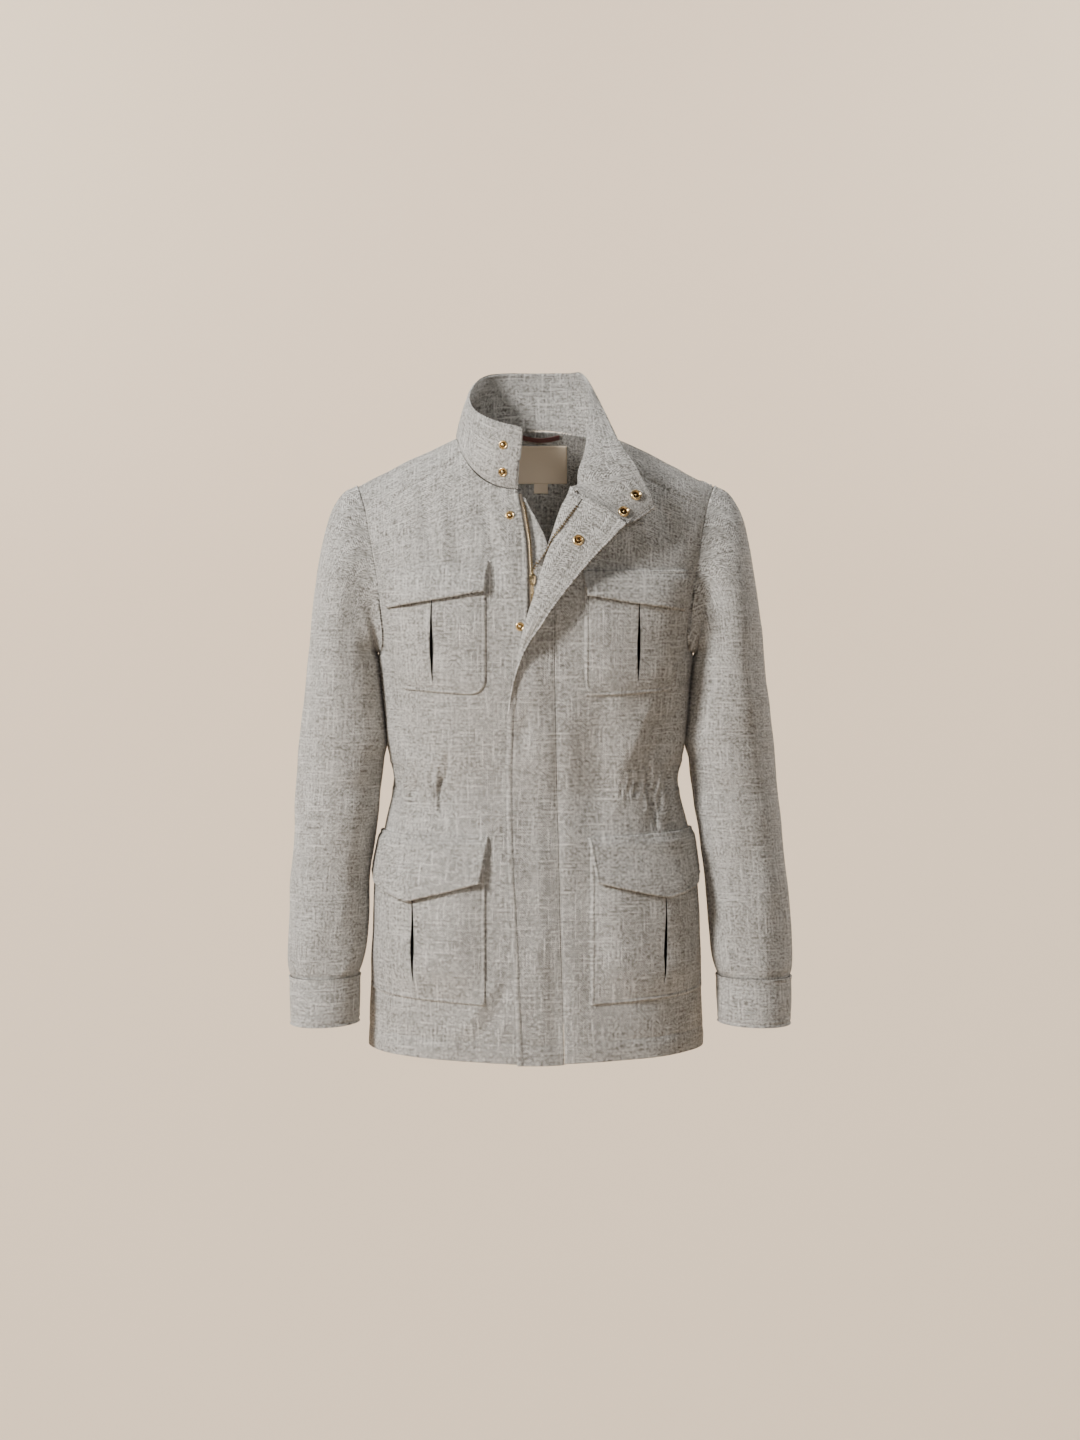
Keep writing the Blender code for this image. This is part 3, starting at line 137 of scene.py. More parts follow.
POCKETS = (
    Pocket("chest", -1, 56, 137, -150, -161, -312, -306, 37, 42, 47, 5, 70, -196, -297, 3, 20),
    Pocket("chest", 1, 55, 138, -161, -161, -314, -308, 31, 41, 50, 6, 70, -198, -296, 3, 20),
    Pocket("hip", -1, 57, 194, -484, -485, -689, -681, 57, 82, 54, 10, 94, -560, -666, 7, 3),
    Pocket("hip", 1, 63, 190, -485, -482, -689, -682, 55, 79, 60, 10, 97, -560, -668, 7, 3),
)
POCKET_INSET, POCKET_DROP, HINGE_LIFT, SIDE_MARGIN, FLAP_STAND = 4, 16, 3, 2, 4

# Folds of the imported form: side, face, girth and height of both ends, width, depth
FOLDS = (
    (-1, 1, 118, -405, 122, -470, 13, -5.0), (-1, 1, 158, -410, 152, -475, 12, -4.0),
    (-1, 1, 196, -400, 204, -500, 16, -3.5), (-1, 1, 138, -395, 138, -455, 14, 3.0),
    (1, 1, 143, -400, 152, -490, 13, -5.0), (1, 1, 182, -405, 178, -480, 12, -4.5),
    (1, 1, 214, -400, 220, -520, 16, -3.0), (1, 1, 164, -400, 166, -460, 14, 3.0),
    (-1, 1, 30, -330, 60, -450, 24, -3.0), (1, 1, 70, -340, 60, -470, 24, -3.0),
    (-1, 1, 205, -270, 150, -390, 26, -4.0), (1, 1, 205, -275, 150, -400, 26, -4.0),
    (0, 1, 215, -520, 222, -750, 30, -4.0), (0, -1, 150, -400, 156, -490, 15, -5.0),
    (0, -1, 188, -405, 186, -480, 14, -4.0), (0, -1, 108, -400, 104, -500, 16, -4.0),
    (0, -1, 60, -410, 66, -500, 18, -3.0), (0, -1, 210, -280, 120, -380, 28, -5.0),
    (0, -1, 160, -520, 170, -750, 34, -4.0), (0, -1, 60, -520, 56, -750, 36, -3.0),
)
# Folds of the sleeves: fraction down, turn round, reach of each, slant, depth
SLEEVE_FOLDS = (
    (0.16, 0.36, 0.07, 0.07, 0.25, -4.0), (0.30, 0.22, 0.16, 0.06, 0.10, -2.5),
    (0.47, 0.42, 0.05, 0.16, -0.4, -4.5), (0.56, 0.34, 0.05, 0.14, 0.5, -3.5),
    (0.66, 0.30, 0.05, 0.12, -0.3, -3.0), (0.80, 0.20, 0.10, 0.05, 0.1, -3.0),
    (0.90, 0.38, 0.07, 0.05, 0.0, -3.0), (0.50, 0.64, 0.06, 0.12, 0.4, -4.0),
    (0.84, 0.70, 0.09, 0.06, 0.1, -3.0),
)
ZIP_BOTTOM, TAPE_TOP, LEFT_TAPE_TOP, GUARD_TOP, GUARD_DROP = -722, -68, -70, -72, 8
SLIDER, SLIDER_HALF = (-4, -172), (4.4, 7)
TAPE_REACH, TAPE_WIDTH, TAPE_EASE, LEFT_TAPE, TAPE_OPENS = 4.4, 16, 1.4, (-3.4, 12), 42
TAPE_PARTS = SLIDER[1] + SLIDER_HALF[1] + 1
GUARD_RIGHT = ((0, -24), (-800, -24))
GUARD_LEFT = ((-60, -13), (-72, -13), (-130, 14), (-200, 15), (-800, 15))
LABEL, SIZE_TAB = (-27, 39.5, -5.5, -53.5), (-2.5, 15, -54, -66)
LOOP, LOOP_STAND = (-18, 30, 8, 2.5), 5

# ---------------------------------------------------------------- sizes of the finer form

LEAST_CUT = 0.0102   # metres: a cut's least width; the hanger loop itself is narrower
# Creases seen from the front (face 1) or behind (-1): x and z of both ends, sideways bow, width
# and depth. A minus depth is a trough. Right and left are the wearer's.
Crease = namedtuple("Crease", "face x0 z0 x1 z1 bow width depth")
CREASES = [Crease(*row) for row in (
    # right front: soft rolls from the yoke and the collar, a drag line to the hem
    (1, -140, -62, -132, -158, 4, 9, -3.2), (1, -119, -62, -112, -160, 3, 9, 3.0),
    (1, -98, -66, -84, -190, -4, 10, -2.6), (1, -76, -52, -44, -200, 6, 9, -3.4),
    (1, -60, -60, -28, -205, 6, 9, 2.8), (1, -150, -50, -148, -110, 2, 8, 1.8),
    (1, -42, -640, -106, -742, 5, 10, 3.0), (1, -26, -640, -84, -750, 6, 9, -2.6),
    # waist gathers of the right front: the main fold with the ridge before it, then small curls
    (1, -107, -378, -114, -427, 1.5, 1.7, -4.4), (1, -113, -410, -119.5, -441, -1, 1.7, -5.4),
    (1, -119.5, -426, -117, -462, 1, 1.6, -4.4), (1, -118, -392, -127, -448, -1, 4, 1.5),
    (1, -146, -402, -151, -438, 2, 2.0, -4.2), (1, -156, -424, -149, -454, -2, 2.0, -3.6),
    (1, -165, -400, -168, -450, 3, 2.1, -3.9), (1, -160, -402, -161, -448, 2, 2.4, 2.5),
    (1, -142, -402, -143, -440, 1, 2.6, 2.2), (1, -176, -398, -173, -440, 1, 2.2, -3.4),
    (1, -134, -430, -138, -462, 1, 3.0, -2.5), (1, -98, -418, -104, -446, 1, 3.0, -2.0),
    (1, -104, -340, -134, -392, 4, 9, -2.0),
    # waist gathers of the left front
    (1, 140, -372, 135, -422, 1.5, 1.7, -4.6), (1, 135, -406, 142, -455, -1, 1.7, -5.6),
    (1, 140, -436, 150, -486, 0, 1.8, -4.4), (1, 153, -350, 142, -418, -2, 4, 2.6),
    (1, 164, -400, 163, -436, 0, 2.0, -3.9), (1, 159, -428, 160, -472, 0, 2.6, 3.6),
    (1, 152, -430, 151, -460, 1, 2.6, -4.2), (1, 130, -424, 134, -466, 1, 2.6, 3.1),
    (1, 173, -392, 176, -440, 1, 2.2, -3.4), (1, 108, -430, 74, -474, 3, 6, 1.6),
    (1, 102, -436, 80, -462, 2, 5, -1.4), (1, 120, -404, 122, -440, 1, 2.6, -2.2),
    # beside the placket's edge and its seam: long soft ridges and troughs
    (1, 14, -246, -22, -392, -4, 9, -4.2), (1, 13, -282, 12, -480, 2, 10, 2.4),
    (1, -14, -400, -8, -640, 3, 10, -2.0), (1, 41, -250, 42, -640, -3, 13, 3.2),
    (1, 78, -230, 70, -580, 4, 15, -3.0), (1, 106, -330, 94, -470, 5, 12, 2.4),
    (1, 40, -600, 52, -745, 3, 12, 2.4), (1, 18, -620, 22, -750, 3, 11, -2.0),
    (1, 160, -290, 108, -410, -6, 11, 2.8), (1, -160, -300, -104, -400, 6, 11, 2.6),
    (1, 182, -320, 150, -400, -4, 8, -2.4), (1, -180, -320, -150, -400, 4, 8, -2.2),
    # upper chest of the left front
    (1, 150, -70, 168, -152, 5, 10, -2.6), (1, 128, -66, 140, -150, -4, 10, 2.2),
    # back
    (-1, 120, -130, 66, -300, 10, 13, 2.8), (-1, -118, -132, -60, -290, -9, 12, 3.0),
    (-1, 168, -200, 96, -330, 8, 11, -3.4), (-1, -165, -205, -88, -340, -8, 12, -3.6),
    (-1, 34, -300, 46, -440, 4, 7, 3.0), (-1, -40, -310, -38, -446, -4, 7, 3.2),
    (-1, 78, -350, 84, -452, 3, 5, -4.6), (-1, -84, -346, -92, -455, -3, 5, -4.8),
    (-1, 116, -366, 124, -448, 3, 4.5, -4.2), (-1, -122, -360, -128, -450, 2, 4.5, -4.6),
    (-1, 60, -372, 62, -444, 2, 4.5, 3.2), (-1, -66, -368, -62, -450, -2, 4.5, 3.4),
    (-1, 20, -480, 30, -700, 6, 16, 3.0), (-1, -90, -480, -104, -720, -6, 15, -3.4),
    (-1, 110, -480, 124, -700, 5, 16, -3.0), (-1, -30, -500, -36, -720, 4, 14, -2.6),
    (-1, -14, -130, -26, -260, 5, 12, -2.4),
)]
WAIST_REACH = (-470, -352)       # where the grid is finer for the gathers
WAIST_STEP = 2.2
# Columns of a front that lie closer for its folds: from, to and step, over its width
FOLD_COLUMNS = ((78, 190, 2.1), (104, 124, 1.3), (128, 150, 1.3))
WAIST_ROWS = (-404, -432)        # stitch rows of the drawstring channel
WAIST_STITCHED_FROM = 60         # the fronts' rows start this far from the middle
GATHER_PITCH, GATHER_REACH, GATHER_DEPTH = 9.5, 20, 1.2
GATHER_FROM = {False: 95, True: 14}     # front and back: width at which the gathers start

CLOSE_SIDE = 2.2     # how far the side swells below the armhole, where the sleeve rests on it
PANEL_UNEVEN = 0.8   # share of the unevenness of washed cloth on the large panels
SEAM_DROP, STITCH_DIP, PUCKER = 1.4, 0.8, 0.14    # sewn edges, their stitches and their puckers
# From a sewn edge to its stitches: plain seams, edges, wide seams, the placket's edge, the hem
SEAM_STITCH, EDGE_STITCH, WIDE_STITCH, PLACKET_STITCH, HEM_DEEP = 1.8, 2, 6, 7, 25
Seam = namedtuple("Seam", "edge offset mask ends", defaults=(None, (0, 0)))
RIM_LINES, GROOVE_LINES = (0, 0.7, 1.6), (-0.9, 0, 0.9, 2.4)     # grid lines at a sewn edge
# About how long and wide the pieces are, to space their grid lines
PANEL_WIDE, ARMHOLE_LONG, PLACKET_LONG, PLACKET_WIDE = 215, 170, 690, 60
SLEEVE_LONG, SLEEVE_HALF_ROUND, CUFF_LONG, CUFF_ROUND = 640, 178, 58, 255
COLLAR_HIGH, GUARD_WIDE = 66, 38
PLACKET_FINE = (8.5, 30, 1.6)    # closer columns behind the placket's stitches: from, to and step
EDGE_RIDGE, EDGE_REACH = 1.5, 2.4    # the bead of the placket's edge
NECK_SHARE = 5 / 11      # how much of a front's top is its neck
# Corners of the yoke's long edge as shares of the chart, and how fast its seam's bow fades
YOKE_RIDGE, YOKE_ARM, YOKE_BOW = 3 / 14, 6 / 14, 14 / 4
HEAD_GATHERS = 38        # round the sleeve's head
LABEL_WAVE = 0.1         # how unevenly the label and its tab lie
# Where the groups of pieces start on the bolt, so that they show different patches of the weave
FRONT_WEAVE, BACK_WEAVE, SLEEVE_WEAVE, CUFF_WEAVE, COLLAR_WEAVE = 400, 900, 1400, 2200, 3000
STITCH_PITCH, STITCH_GAP, THREAD = 3.4, 0.7, 0.52
TOOTH_PITCH, TOOTH_LONG, TOOTH_HIGH, TEETH_TOP = 3.0, 3.6, 1.6, -78
# Real twill lines lie 1 mm apart; 2.8 mm is the finest that a render shows. Bars are 12 mm.
TWILL_PITCH, HERRINGBONE_BAR = 2.8, 12.0
WAVE_BANDS = 3.1     # bands of a wave texture to a unit, at scale 1
# The studio, in metres
SWEEP_FRONT, SWEEP_TURN, SWEEP_RADIUS, SWEEP_TOP, SWEEP_HALF = -5.0, 2.0, 2.0, 6.0, 7.0
CAMERA_PLACE, CAMERA_TARGET = (0.005, -3.5912, -0.0989), (0.005, 0.0, -0.350)


def smooth(value):
    value = np.clip(value, 0, 1)
    return value * value * (3 - 2 * value)


def mix(first, second, share):
    return first + (second - first) * share


def table_at(table, at):
    """The table's row at the places `at` of its first column, smooth between its rows."""
    rows = np.array(table, float)
    if rows[0, 0] > rows[-1, 0]:
        rows = rows[::-1]
    slopes = np.empty_like(rows)
    slopes[1:-1] = (rows[2:] - rows[:-2]) / (rows[2:, :1] - rows[:-2, :1])
    slopes[0] = (rows[1] - rows[0]) / (rows[1, 0] - rows[0, 0])
    slopes[-1] = (rows[-1] - rows[-2]) / (rows[-1, 0] - rows[-2, 0])
    at = np.clip(np.asarray(at, float), rows[0, 0], rows[-1, 0])
    i = np.clip(np.searchsorted(rows[:, 0], at, side="right") - 1, 0, len(rows) - 2)
    step = rows[i + 1, 0] - rows[i, 0]
    t = ((at - rows[i, 0]) / step)[..., None]
    step = step[..., None]
    return ((2 * t ** 3 - 3 * t ** 2 + 1) * rows[i] + (t ** 3 - 2 * t ** 2 + t) * slopes[i] * step
            + (3 * t ** 2 - 2 * t ** 3) * rows[i + 1] + (t ** 3 - t ** 2) * slopes[i + 1] * step)


def run_along(points):
    """Length along a row of points, up to each of them."""
    return np.concatenate(([0.0], np.cumsum(np.linalg.norm(np.diff(points, axis=0), axis=1))))


def weave_of(x, y):
    """A weave map from lengths across and along the cloth."""
    return np.stack(np.broadcast_arrays(x, y), axis=-1)


def along_path(points, share):
    points = np.array(points, float)
    length = run_along(points)
    return table_at(np.column_stack((length, points)), np.asarray(share) * length[-1])[..., 1:]


def by_row(table, place):
    """The table's row at fractional row numbers."""
    return table_at(np.column_stack((np.arange(len(table)), table)), place)[:, 1:]


# ---------------------------------------------------------------- body form

ROOT_STEP, ROOTS, SHARES, RING_ANGLES = 0.06, 482, 240, 1201


def ring_depth(height, back):
    row = table_at(BODY, height)
    reach = BACK_DOME if back else FRONT_DOME
    dome = np.sqrt(np.maximum(1 - np.maximum(0, 1 + height / reach) ** 2, 0))
    return row[..., 3 if back else 2] * dome


def quarter_rings(back):
    """Width and depth at each share of the quarter girth, the girth, and the share at a width."""
    heights = -(np.arange(ROOTS) * ROOT_STEP) ** 2
    rows, depths = table_at(BODY, heights), ring_depth(heights, back)
    angle = math.pi / 2 * smooth(np.linspace(0, 1, RING_ANGLES)) ** 1.5
    shares = np.linspace(0, 1, SHARES + 1)
    wide, deep, girths, share_at = [], [], [], []
    for row, depth in zip(rows, depths):
        x = row[1] * np.sin(angle) ** (2 / row[4])
        y = depth * np.abs(np.cos(angle)) ** (2 / row[4])
        y[-1] = 0
        girth = np.concatenate(([0.0], np.cumsum(np.hypot(np.diff(x), np.diff(y)))))
        wide.append(np.interp(shares * girth[-1], girth, x))
        deep.append(np.interp(shares * girth[-1], girth, y))
        girths.append(girth[-1])
        share_at.append(np.interp(shares * row[1], x, girth) / girth[-1])
    return np.array(wide), np.array(deep), np.array(girths), np.array(share_at)


RINGS = {back: quarter_rings(back) for back in (False, True)}


def between(table, row, col=None):
    """The table's value at fractional rows and columns."""
    low = np.clip(row.astype(int), 0, len(table) - 2)
    part = row - low
    if col is None:
        return mix(table[low], table[low + 1], part)
    left = np.clip(col.astype(int), 0, table.shape[1] - 2)
    side = col - left
    return mix(mix(table[low, left], table[low, left + 1], side),
               mix(table[low + 1, left], table[low + 1, left + 1], side), part)


def roots(height):
    return np.sqrt(np.maximum(-np.asarray(height, float), 0)) / ROOT_STEP


def side_girth(height, back):
    return between(RINGS[back][2], roots(height))


def girth_of(x, height, back):
    half_width = table_at(BODY, height)[..., 1]
    share = between(RINGS[back][3], roots(height), np.minimum(np.abs(x) / half_width, 1) * SHARES)
    return np.sign(x) * share * side_girth(height, back)


def rise(x):
    return NECK_RISE - SHOULDER_FALL * (np.hypot(x, SHOULDER_ROUND) - SHOULDER_ROUND)


def world_z(x, height):
    return height + rise(x) * smooth(1 + height / SLOPE_FADE)


def ring_height(x, z):
    height = np.array(np.broadcast_arrays(x, z)[1], float)
    for _ in range(30):
        height += 0.7 * (z - world_z(x, height))
    return np.minimum(height, 0)


def fold_depth(sign, back, girth, z):
    total = np.zeros(np.shape(girth))
    for side, face, girth_a, z_a, girth_b, z_b, width, depth in FOLDS:
        if (face < 0) != back:
            continue
        run = np.array((girth_b - girth_a, z_b - z_a), float)
        share = ((girth - girth_a) * run[0] + (z - z_a) * run[1]) / (run @ run)
        across = ((girth - girth_a) * run[1] - (z - z_a) * run[0]) / math.hypot(*run)
        ends = smooth(1 - np.abs(2 * share - 1) / 1.6)
        total += depth * ends * np.exp(-(across / width) ** 2) * ((side == 0) | (sign == side))
    return total


def on_body(side, back, girth, height):
    """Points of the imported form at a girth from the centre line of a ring. side is -1 or 1."""
    girth, height = np.broadcast_arrays(np.asarray(girth, float), np.asarray(height, float))
    root, reach = roots(height), np.abs(girth)
    sign = side * np.where(girth < 0, -1, 1)
    side_reach = between(RINGS[back][2], root)
    share = np.minimum(reach / side_reach, 1) * SHARES
    x, y = between(RINGS[back][0], root, share), between(RINGS[back][1], root, share)
    y = np.where(reach > side_reach, side_reach - reach, y)
    z = world_z(x, height)
    out = fold_depth(sign, back, reach, z)
    nx = x / table_at(BODY, height)[..., 1]
    ny = y / np.maximum(ring_depth(height, back), 1)
    size = np.maximum(np.hypot(nx, ny), 1e-9)
    return np.stack((sign * (x + out * nx / size), (y + out * ny / size) * (1 if back else -1), z),
                    axis=-1)


def face_point(x, z, back=False):
    x, z = np.broadcast_arrays(np.asarray(x, float), np.asarray(z, float))
    height = ring_height(x, z)
    return on_body(1, back, girth_of(x, height, back), height)


def normal_of(chart, a, b, outside, step=0.5):
    normal = np.cross(chart(a + step, b) - chart(a - step, b),
                      chart(a, b + step) - chart(a, b - step))
    return outside * normal / np.maximum(np.linalg.norm(normal, axis=-1, keepdims=True), 1e-9)


def raised(chart, x, z, amount):
    return chart(x, z) + normal_of(chart, x, z, 1) * amount


def edge_x(table, z):
    return table_at(table, z)[..., 1]


def rolled(x, z):
    """The left front's face: it stands before the right front, and its top is rolled back."""
    x, z = np.broadcast_arrays(np.asarray(x, float), np.asarray(z, float))
    foot = z.copy()
    for _ in range(6):
        line = table_at(ROLL, foot)
        slope = (table_at(ROLL, foot + 1)[..., 1] - table_at(ROLL, foot - 1)[..., 1]) / 2
        foot = foot + ((x - line[..., 1]) * slope + z - foot) / (1 + slope ** 2)
    line = table_at(ROLL, foot)
    along = np.stack((slope, np.ones_like(slope)), axis=-1) / np.sqrt(1 + slope ** 2)[..., None]
    out = (z - foot) * along[..., 0] - (x - line[..., 1]) * along[..., 1]
    stand = COVER * smooth((edge_x(PLACKET_SEAM, z) - x) / COVER_RUN)
    turn, radius = np.radians(line[..., 2]), line[..., 3]
    bends = (out > 0) & (turn > 0.01)
    bent = np.where(bends, np.minimum(out / radius, turn), 0)
    rest = np.where(bends, out - bent * radius, 0)
    reach = radius * np.sin(bent) + rest * np.cos(bent)
    stand = stand + np.where(bends, radius * (1 - np.cos(bent)) + rest * np.sin(bent), 0)
    new_x = np.where(bends, line[..., 1] - reach * along[..., 1], x)
    new_z = np.where(bends, foot + reach * along[..., 0], z)
    return face_point(new_x, new_z) + normal_of(face_point, new_x, new_z, 1) * stand[..., None]


def rolled_girth(girth, height):
    point = on_body(1, False, girth, height)
    flat = (point[..., 0] > ROLL_REACH) | (point[..., 2] < BREAK_Z)
    return np.where(flat[..., None], point, rolled(point[..., 0], point[..., 2]))


# ---------------------------------------------------------------- cloth walls

def places(length, step, low=None, high=None):
    """Shares of a length for grid lines: even, with finer lines at both ends and at a sewn line."""
    def end(offset):
        if offset is None:
            return [0, 1.3]
        half = [offset / 2] if offset > 3.5 else []
        return sorted({*RIM_LINES, *half, *(offset + line for line in GROOVE_LINES)})
    first, last = end(low), end(high)
    inner_from, inner_to = first[-1] + step, length - last[-1] - step
    count = max(int(round((inner_to - inner_from) / step)), 2)
    middle = np.linspace(inner_from, inner_to, count + 1)
    return np.concatenate((first, middle, length - np.array(last[::-1]))) / length


def closer(shares, length, start, end, step):
    """The same grid shares with evenly closer lines between two places of the length."""
    kept = shares[(shares * length <= start) | (shares * length >= end)]
    added = np.linspace(start, end, int((end - start) / step) + 1)[1:-1] / length
    return np.sort(np.concatenate((kept, added)))


def undulation(points):
    """Small unevenness of washed cloth, alike on all pieces that lie on each other."""
    x, y, z = (points[..., k] for k in range(3))
    total = np.zeros(x.shape)
    for a, b, c, phase, depth in (
            (0.061, 0.043, 0.021, 0.3, 0.55), (-0.037, 0.052, 0.048, 1.9, 0.5),
            (0.095, -0.031, 0.026, 4.1, 0.32), (0.028, 0.088, -0.079, 2.6, 0.3),
            (0.131, 0.07, 0.052, 5.2, 0.17), (-0.11, 0.05, 0.12, 0.8, 0.16),
            (0.19, 0.11, -0.07, 3.3, 0.1), (0.08, -0.2, 0.16, 1.2, 0.09)):
        total += depth * np.sin(a * x + b * y + c * z + phase)
    return total


def crease_relief(points, normals):
    """How far the creases move the cloth out, by its place in the front or back view."""
    x, z = points[..., 0], points[..., 2]
    near_side = smooth((np.abs(normals[..., 0]) - 0.75) / 0.2)
    total = CLOSE_SIDE * near_side * smooth((-z - 260) / 14) * smooth((400 + z) / 30)
    for crease in CREASES:
        facing = smooth(0.5 - crease.face * normals[..., 1] * 1.4)
        run = np.array((crease.x1 - crease.x0, crease.z1 - crease.z0), float)
        length = math.hypot(*run)
        share = ((x - crease.x0) * run[0] + (z - crease.z0) * run[1]) / length ** 2
        across = ((x - crease.x0) * run[1] - (z - crease.z0) * run[0]) / length
        across = across + crease.bow * 4 * share * (1 - share)
        ends = smooth(share / 0.3) * smooth((1 - share) / 0.3)
        total += crease.depth * ends * facing * np.exp(-np.abs(across / crease.width) ** 1.6)
    return total


def gather_relief(points, back):
    """Fine gathers on the drawstring channel: uneven upright ridges and its two sewn rows."""
    x, z = np.abs(points[..., 0]), points[..., 2]
    middle = sum(WAIST_ROWS) / 2
    wobble = 3 * np.sin(0.11 * z) + 5 * np.sin(0.031 * x + 1)
    ridge = np.sin(2 * math.pi * (x + wobble) / GATHER_PITCH + 2.2 * np.sin(0.07 * x))
    start = GATHER_FROM[back]
    reach = np.exp(-((z - middle) / GATHER_REACH) ** 2) * smooth((x - start) / 30)
    total = GATHER_DEPTH * ridge * reach
    for row in WAIST_ROWS:
        total -= 1.2 * np.exp(-((z - row) / 1.7) ** 2) * (0.4 + 0.6 * smooth((x - start) / 30))
    return total


class Wall:
    """A cloth wall being shaped: a grid of face points, its outward sign and its weave map."""

    def __init__(self, points, outward, weave, tube=False):
        self.face = np.array(points, float)
        self.outward, self.weave, self.tube = outward, weave, tube
        self.marks = None

    def normals(self):
        if self.tube:
            wide = np.concatenate((self.face[:, -1:], self.face, self.face[:, :1]), axis=1)
            around = wide[:, 2:] - wide[:, :-2]
        else:
            around = np.gradient(self.face, axis=1)
        normal = np.cross(around, np.gradient(self.face, axis=0))
        size = np.maximum(np.linalg.norm(normal, axis=-1, keepdims=True), 1e-9)
        return self.outward * normal / size

    def face_along(self, directions):
        """Sets the outward sign so that the normals agree with the given directions."""
        if (self.normals() * directions).sum() < 0:
            self.outward = -self.outward

    def move(self, amount):
        self.face = self.face + self.normals() * amount[..., None]

    def from_edge(self, edge):
        """Length along the cloth from one edge, for each point of the grid."""
        axis = 0 if edge in ("low", "high") else 1
        steps = np.linalg.norm(np.diff(self.face, axis=axis), axis=-1)
        start = np.zeros_like(np.take(steps, [0], axis=axis))
        length = np.concatenate((start, np.cumsum(steps, axis=axis)), axis=axis)
        if edge in ("high", "right"):
            length = np.take(length, [-1], axis=axis) - length
        return length

    def build(self, name, node, thickness, cloth, slot, held, rests_on, lining=None):
        """The closed shell with a rounded rim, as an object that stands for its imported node."""
        rows, cols = self.face.shape[:2]
        wide = cols + self.tube
        under = lining if lining is not None else self.face - self.normals() * thickness
        loops = [[(0, j) for j in range(wide)], [(rows - 1, j) for j in range(wide)][::-1]]
        if not self.tube:
            loops = [[(0, j) for j in range(cols)] + [(i, cols - 1) for i in range(1, rows)]
                     + [(rows - 1, j) for j in range(cols - 2, -1, -1)]
                     + [(i, 0) for i in range(rows - 2, -1, -1)]]
        rim, rim_points = {}, []
        for i, j in (place for loop in loops for place in loop):
            key = (i, j % cols)
            if key not in rim:
                rim[key] = len(rim)
                inner = self.face[min(max(i, 1), rows - 2),
                                  key[1] if self.tube else min(max(j, 1), cols - 2)]
                out = self.face[key] - inner
                middle = (self.face[key] + under[key]) / 2
                out = out / max(np.linalg.norm(out), 1e-9)
                rim_points.append(middle + out * min(thickness * 0.3, 0.55))
        points = np.concatenate((self.face.reshape(-1, 3), under.reshape(-1, 3), rim_points))
        count = rows * cols
        i, j = (part.ravel() for part in np.mgrid[:rows - 1, :wide - 1])
        rows_of = np.stack((i, i, i + 1, i + 1), axis=1)
        cols_of = np.stack((j, j + 1, j + 1, j), axis=1)
        top = rows_of * cols + cols_of % cols
        weave = self.weave[rows_of, cols_of]
        faces, maps = [top, (top + count)[:, ::-1]], [weave, weave[:, ::-1]]
        for loop in loops:
            for (a_i, a_j), (b_i, b_j) in zip(loop, loop[1:]):
                a, b = (a_i, a_j % cols), (b_i, b_j % cols)
                one, two = a[0] * cols + a[1], b[0] * cols + b[1]
                low, high = 2 * count + rim[a], 2 * count + rim[b]
                faces.append([[two, one, low, high], [high, low, one + count, two + count]])
                pair = self.weave[[b_i, a_i, a_i, b_i], [b_j, a_j, a_j, b_j]]
                maps.append([pair, pair])
        faces, maps = np.concatenate(faces), np.concatenate(maps)
        if self.outward < 0:
            faces, maps = faces[:, ::-1], maps[:, ::-1]
        data = new_mesh(name, points, faces.tolist(), finish(cloth))
        data.uv_layers.new(name=WEAVE).uv.foreach_set("vector", (maps * MM).ravel())
        # the marked faces get the nearly black pleat linen: painted shade
        if self.marks is not None:
            data.materials.append(finish("pleat"))
            slots = np.zeros(len(faces), int)
            slots[:len(top)] = self.marks.ravel()
            data.polygons.foreach_set("material_index", slots)
        obj = to_scene(data, node)
        width = np.linalg.norm(np.diff(self.face, axis=1), axis=-1).sum(1).max() * MM
        length = np.linalg.norm(np.diff(self.face, axis=0), axis=-1).sum(0).max() * MM
        length = max(length, LEAST_CUT)


def placed(name, data):
    obj = bpy.data.objects.new(name, data)
    bpy.context.scene.collection.objects.link(obj)
    return obj


def new_mesh(name, points, faces, material):
    """A smooth mesh from points in millimetres."""
    data = bpy.data.meshes.new(name)
    data.from_pydata((np.array(points) * MM).tolist(), [], faces)
    data.materials.append(material)
    data.shade_smooth()
    return data


def to_scene(data, replaced=None):
    obj = placed(data.name, data)
    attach(obj, "root")
    if replaced:
        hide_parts(replaced)
    return obj


def seam_relief(wall, seams):
    """The sewn edges of a wall, with slight puckers along their stitches."""
    total = np.zeros(wall.face.shape[:2])
    for seam in seams:
        way = wall.from_edge(seam.edge)
        run = wall.from_edge("low" if seam.edge in ("left", "right") else "left")
        pucker = np.sin(run * 0.62 + 1.7 * np.sin(run * 0.13)) + np.sin(run * 1.1 + 2)
        reach = 3 + seam.offset * 0.4
        ripple = PUCKER * pucker * np.exp(-((way - seam.offset) / reach) ** 2)
        part = sewn_edge(way, seam.offset) + ripple
        total += part if seam.mask is None else part * seam.mask
    return total


def sewn_edge(way, offset):
    """Height of a sewn edge by the way from it: turned down, a bead, a groove at the stitches."""
    bead = 0.45 * np.sin(math.pi * np.clip(way / offset, 0, 1))
    if offset < HEM_DEEP:
        bead = bead - SEAM_DROP * np.exp(-(way / 1.3) ** 2)
    return bead - STITCH_DIP * np.exp(-((way - offset) / 1.1) ** 2)


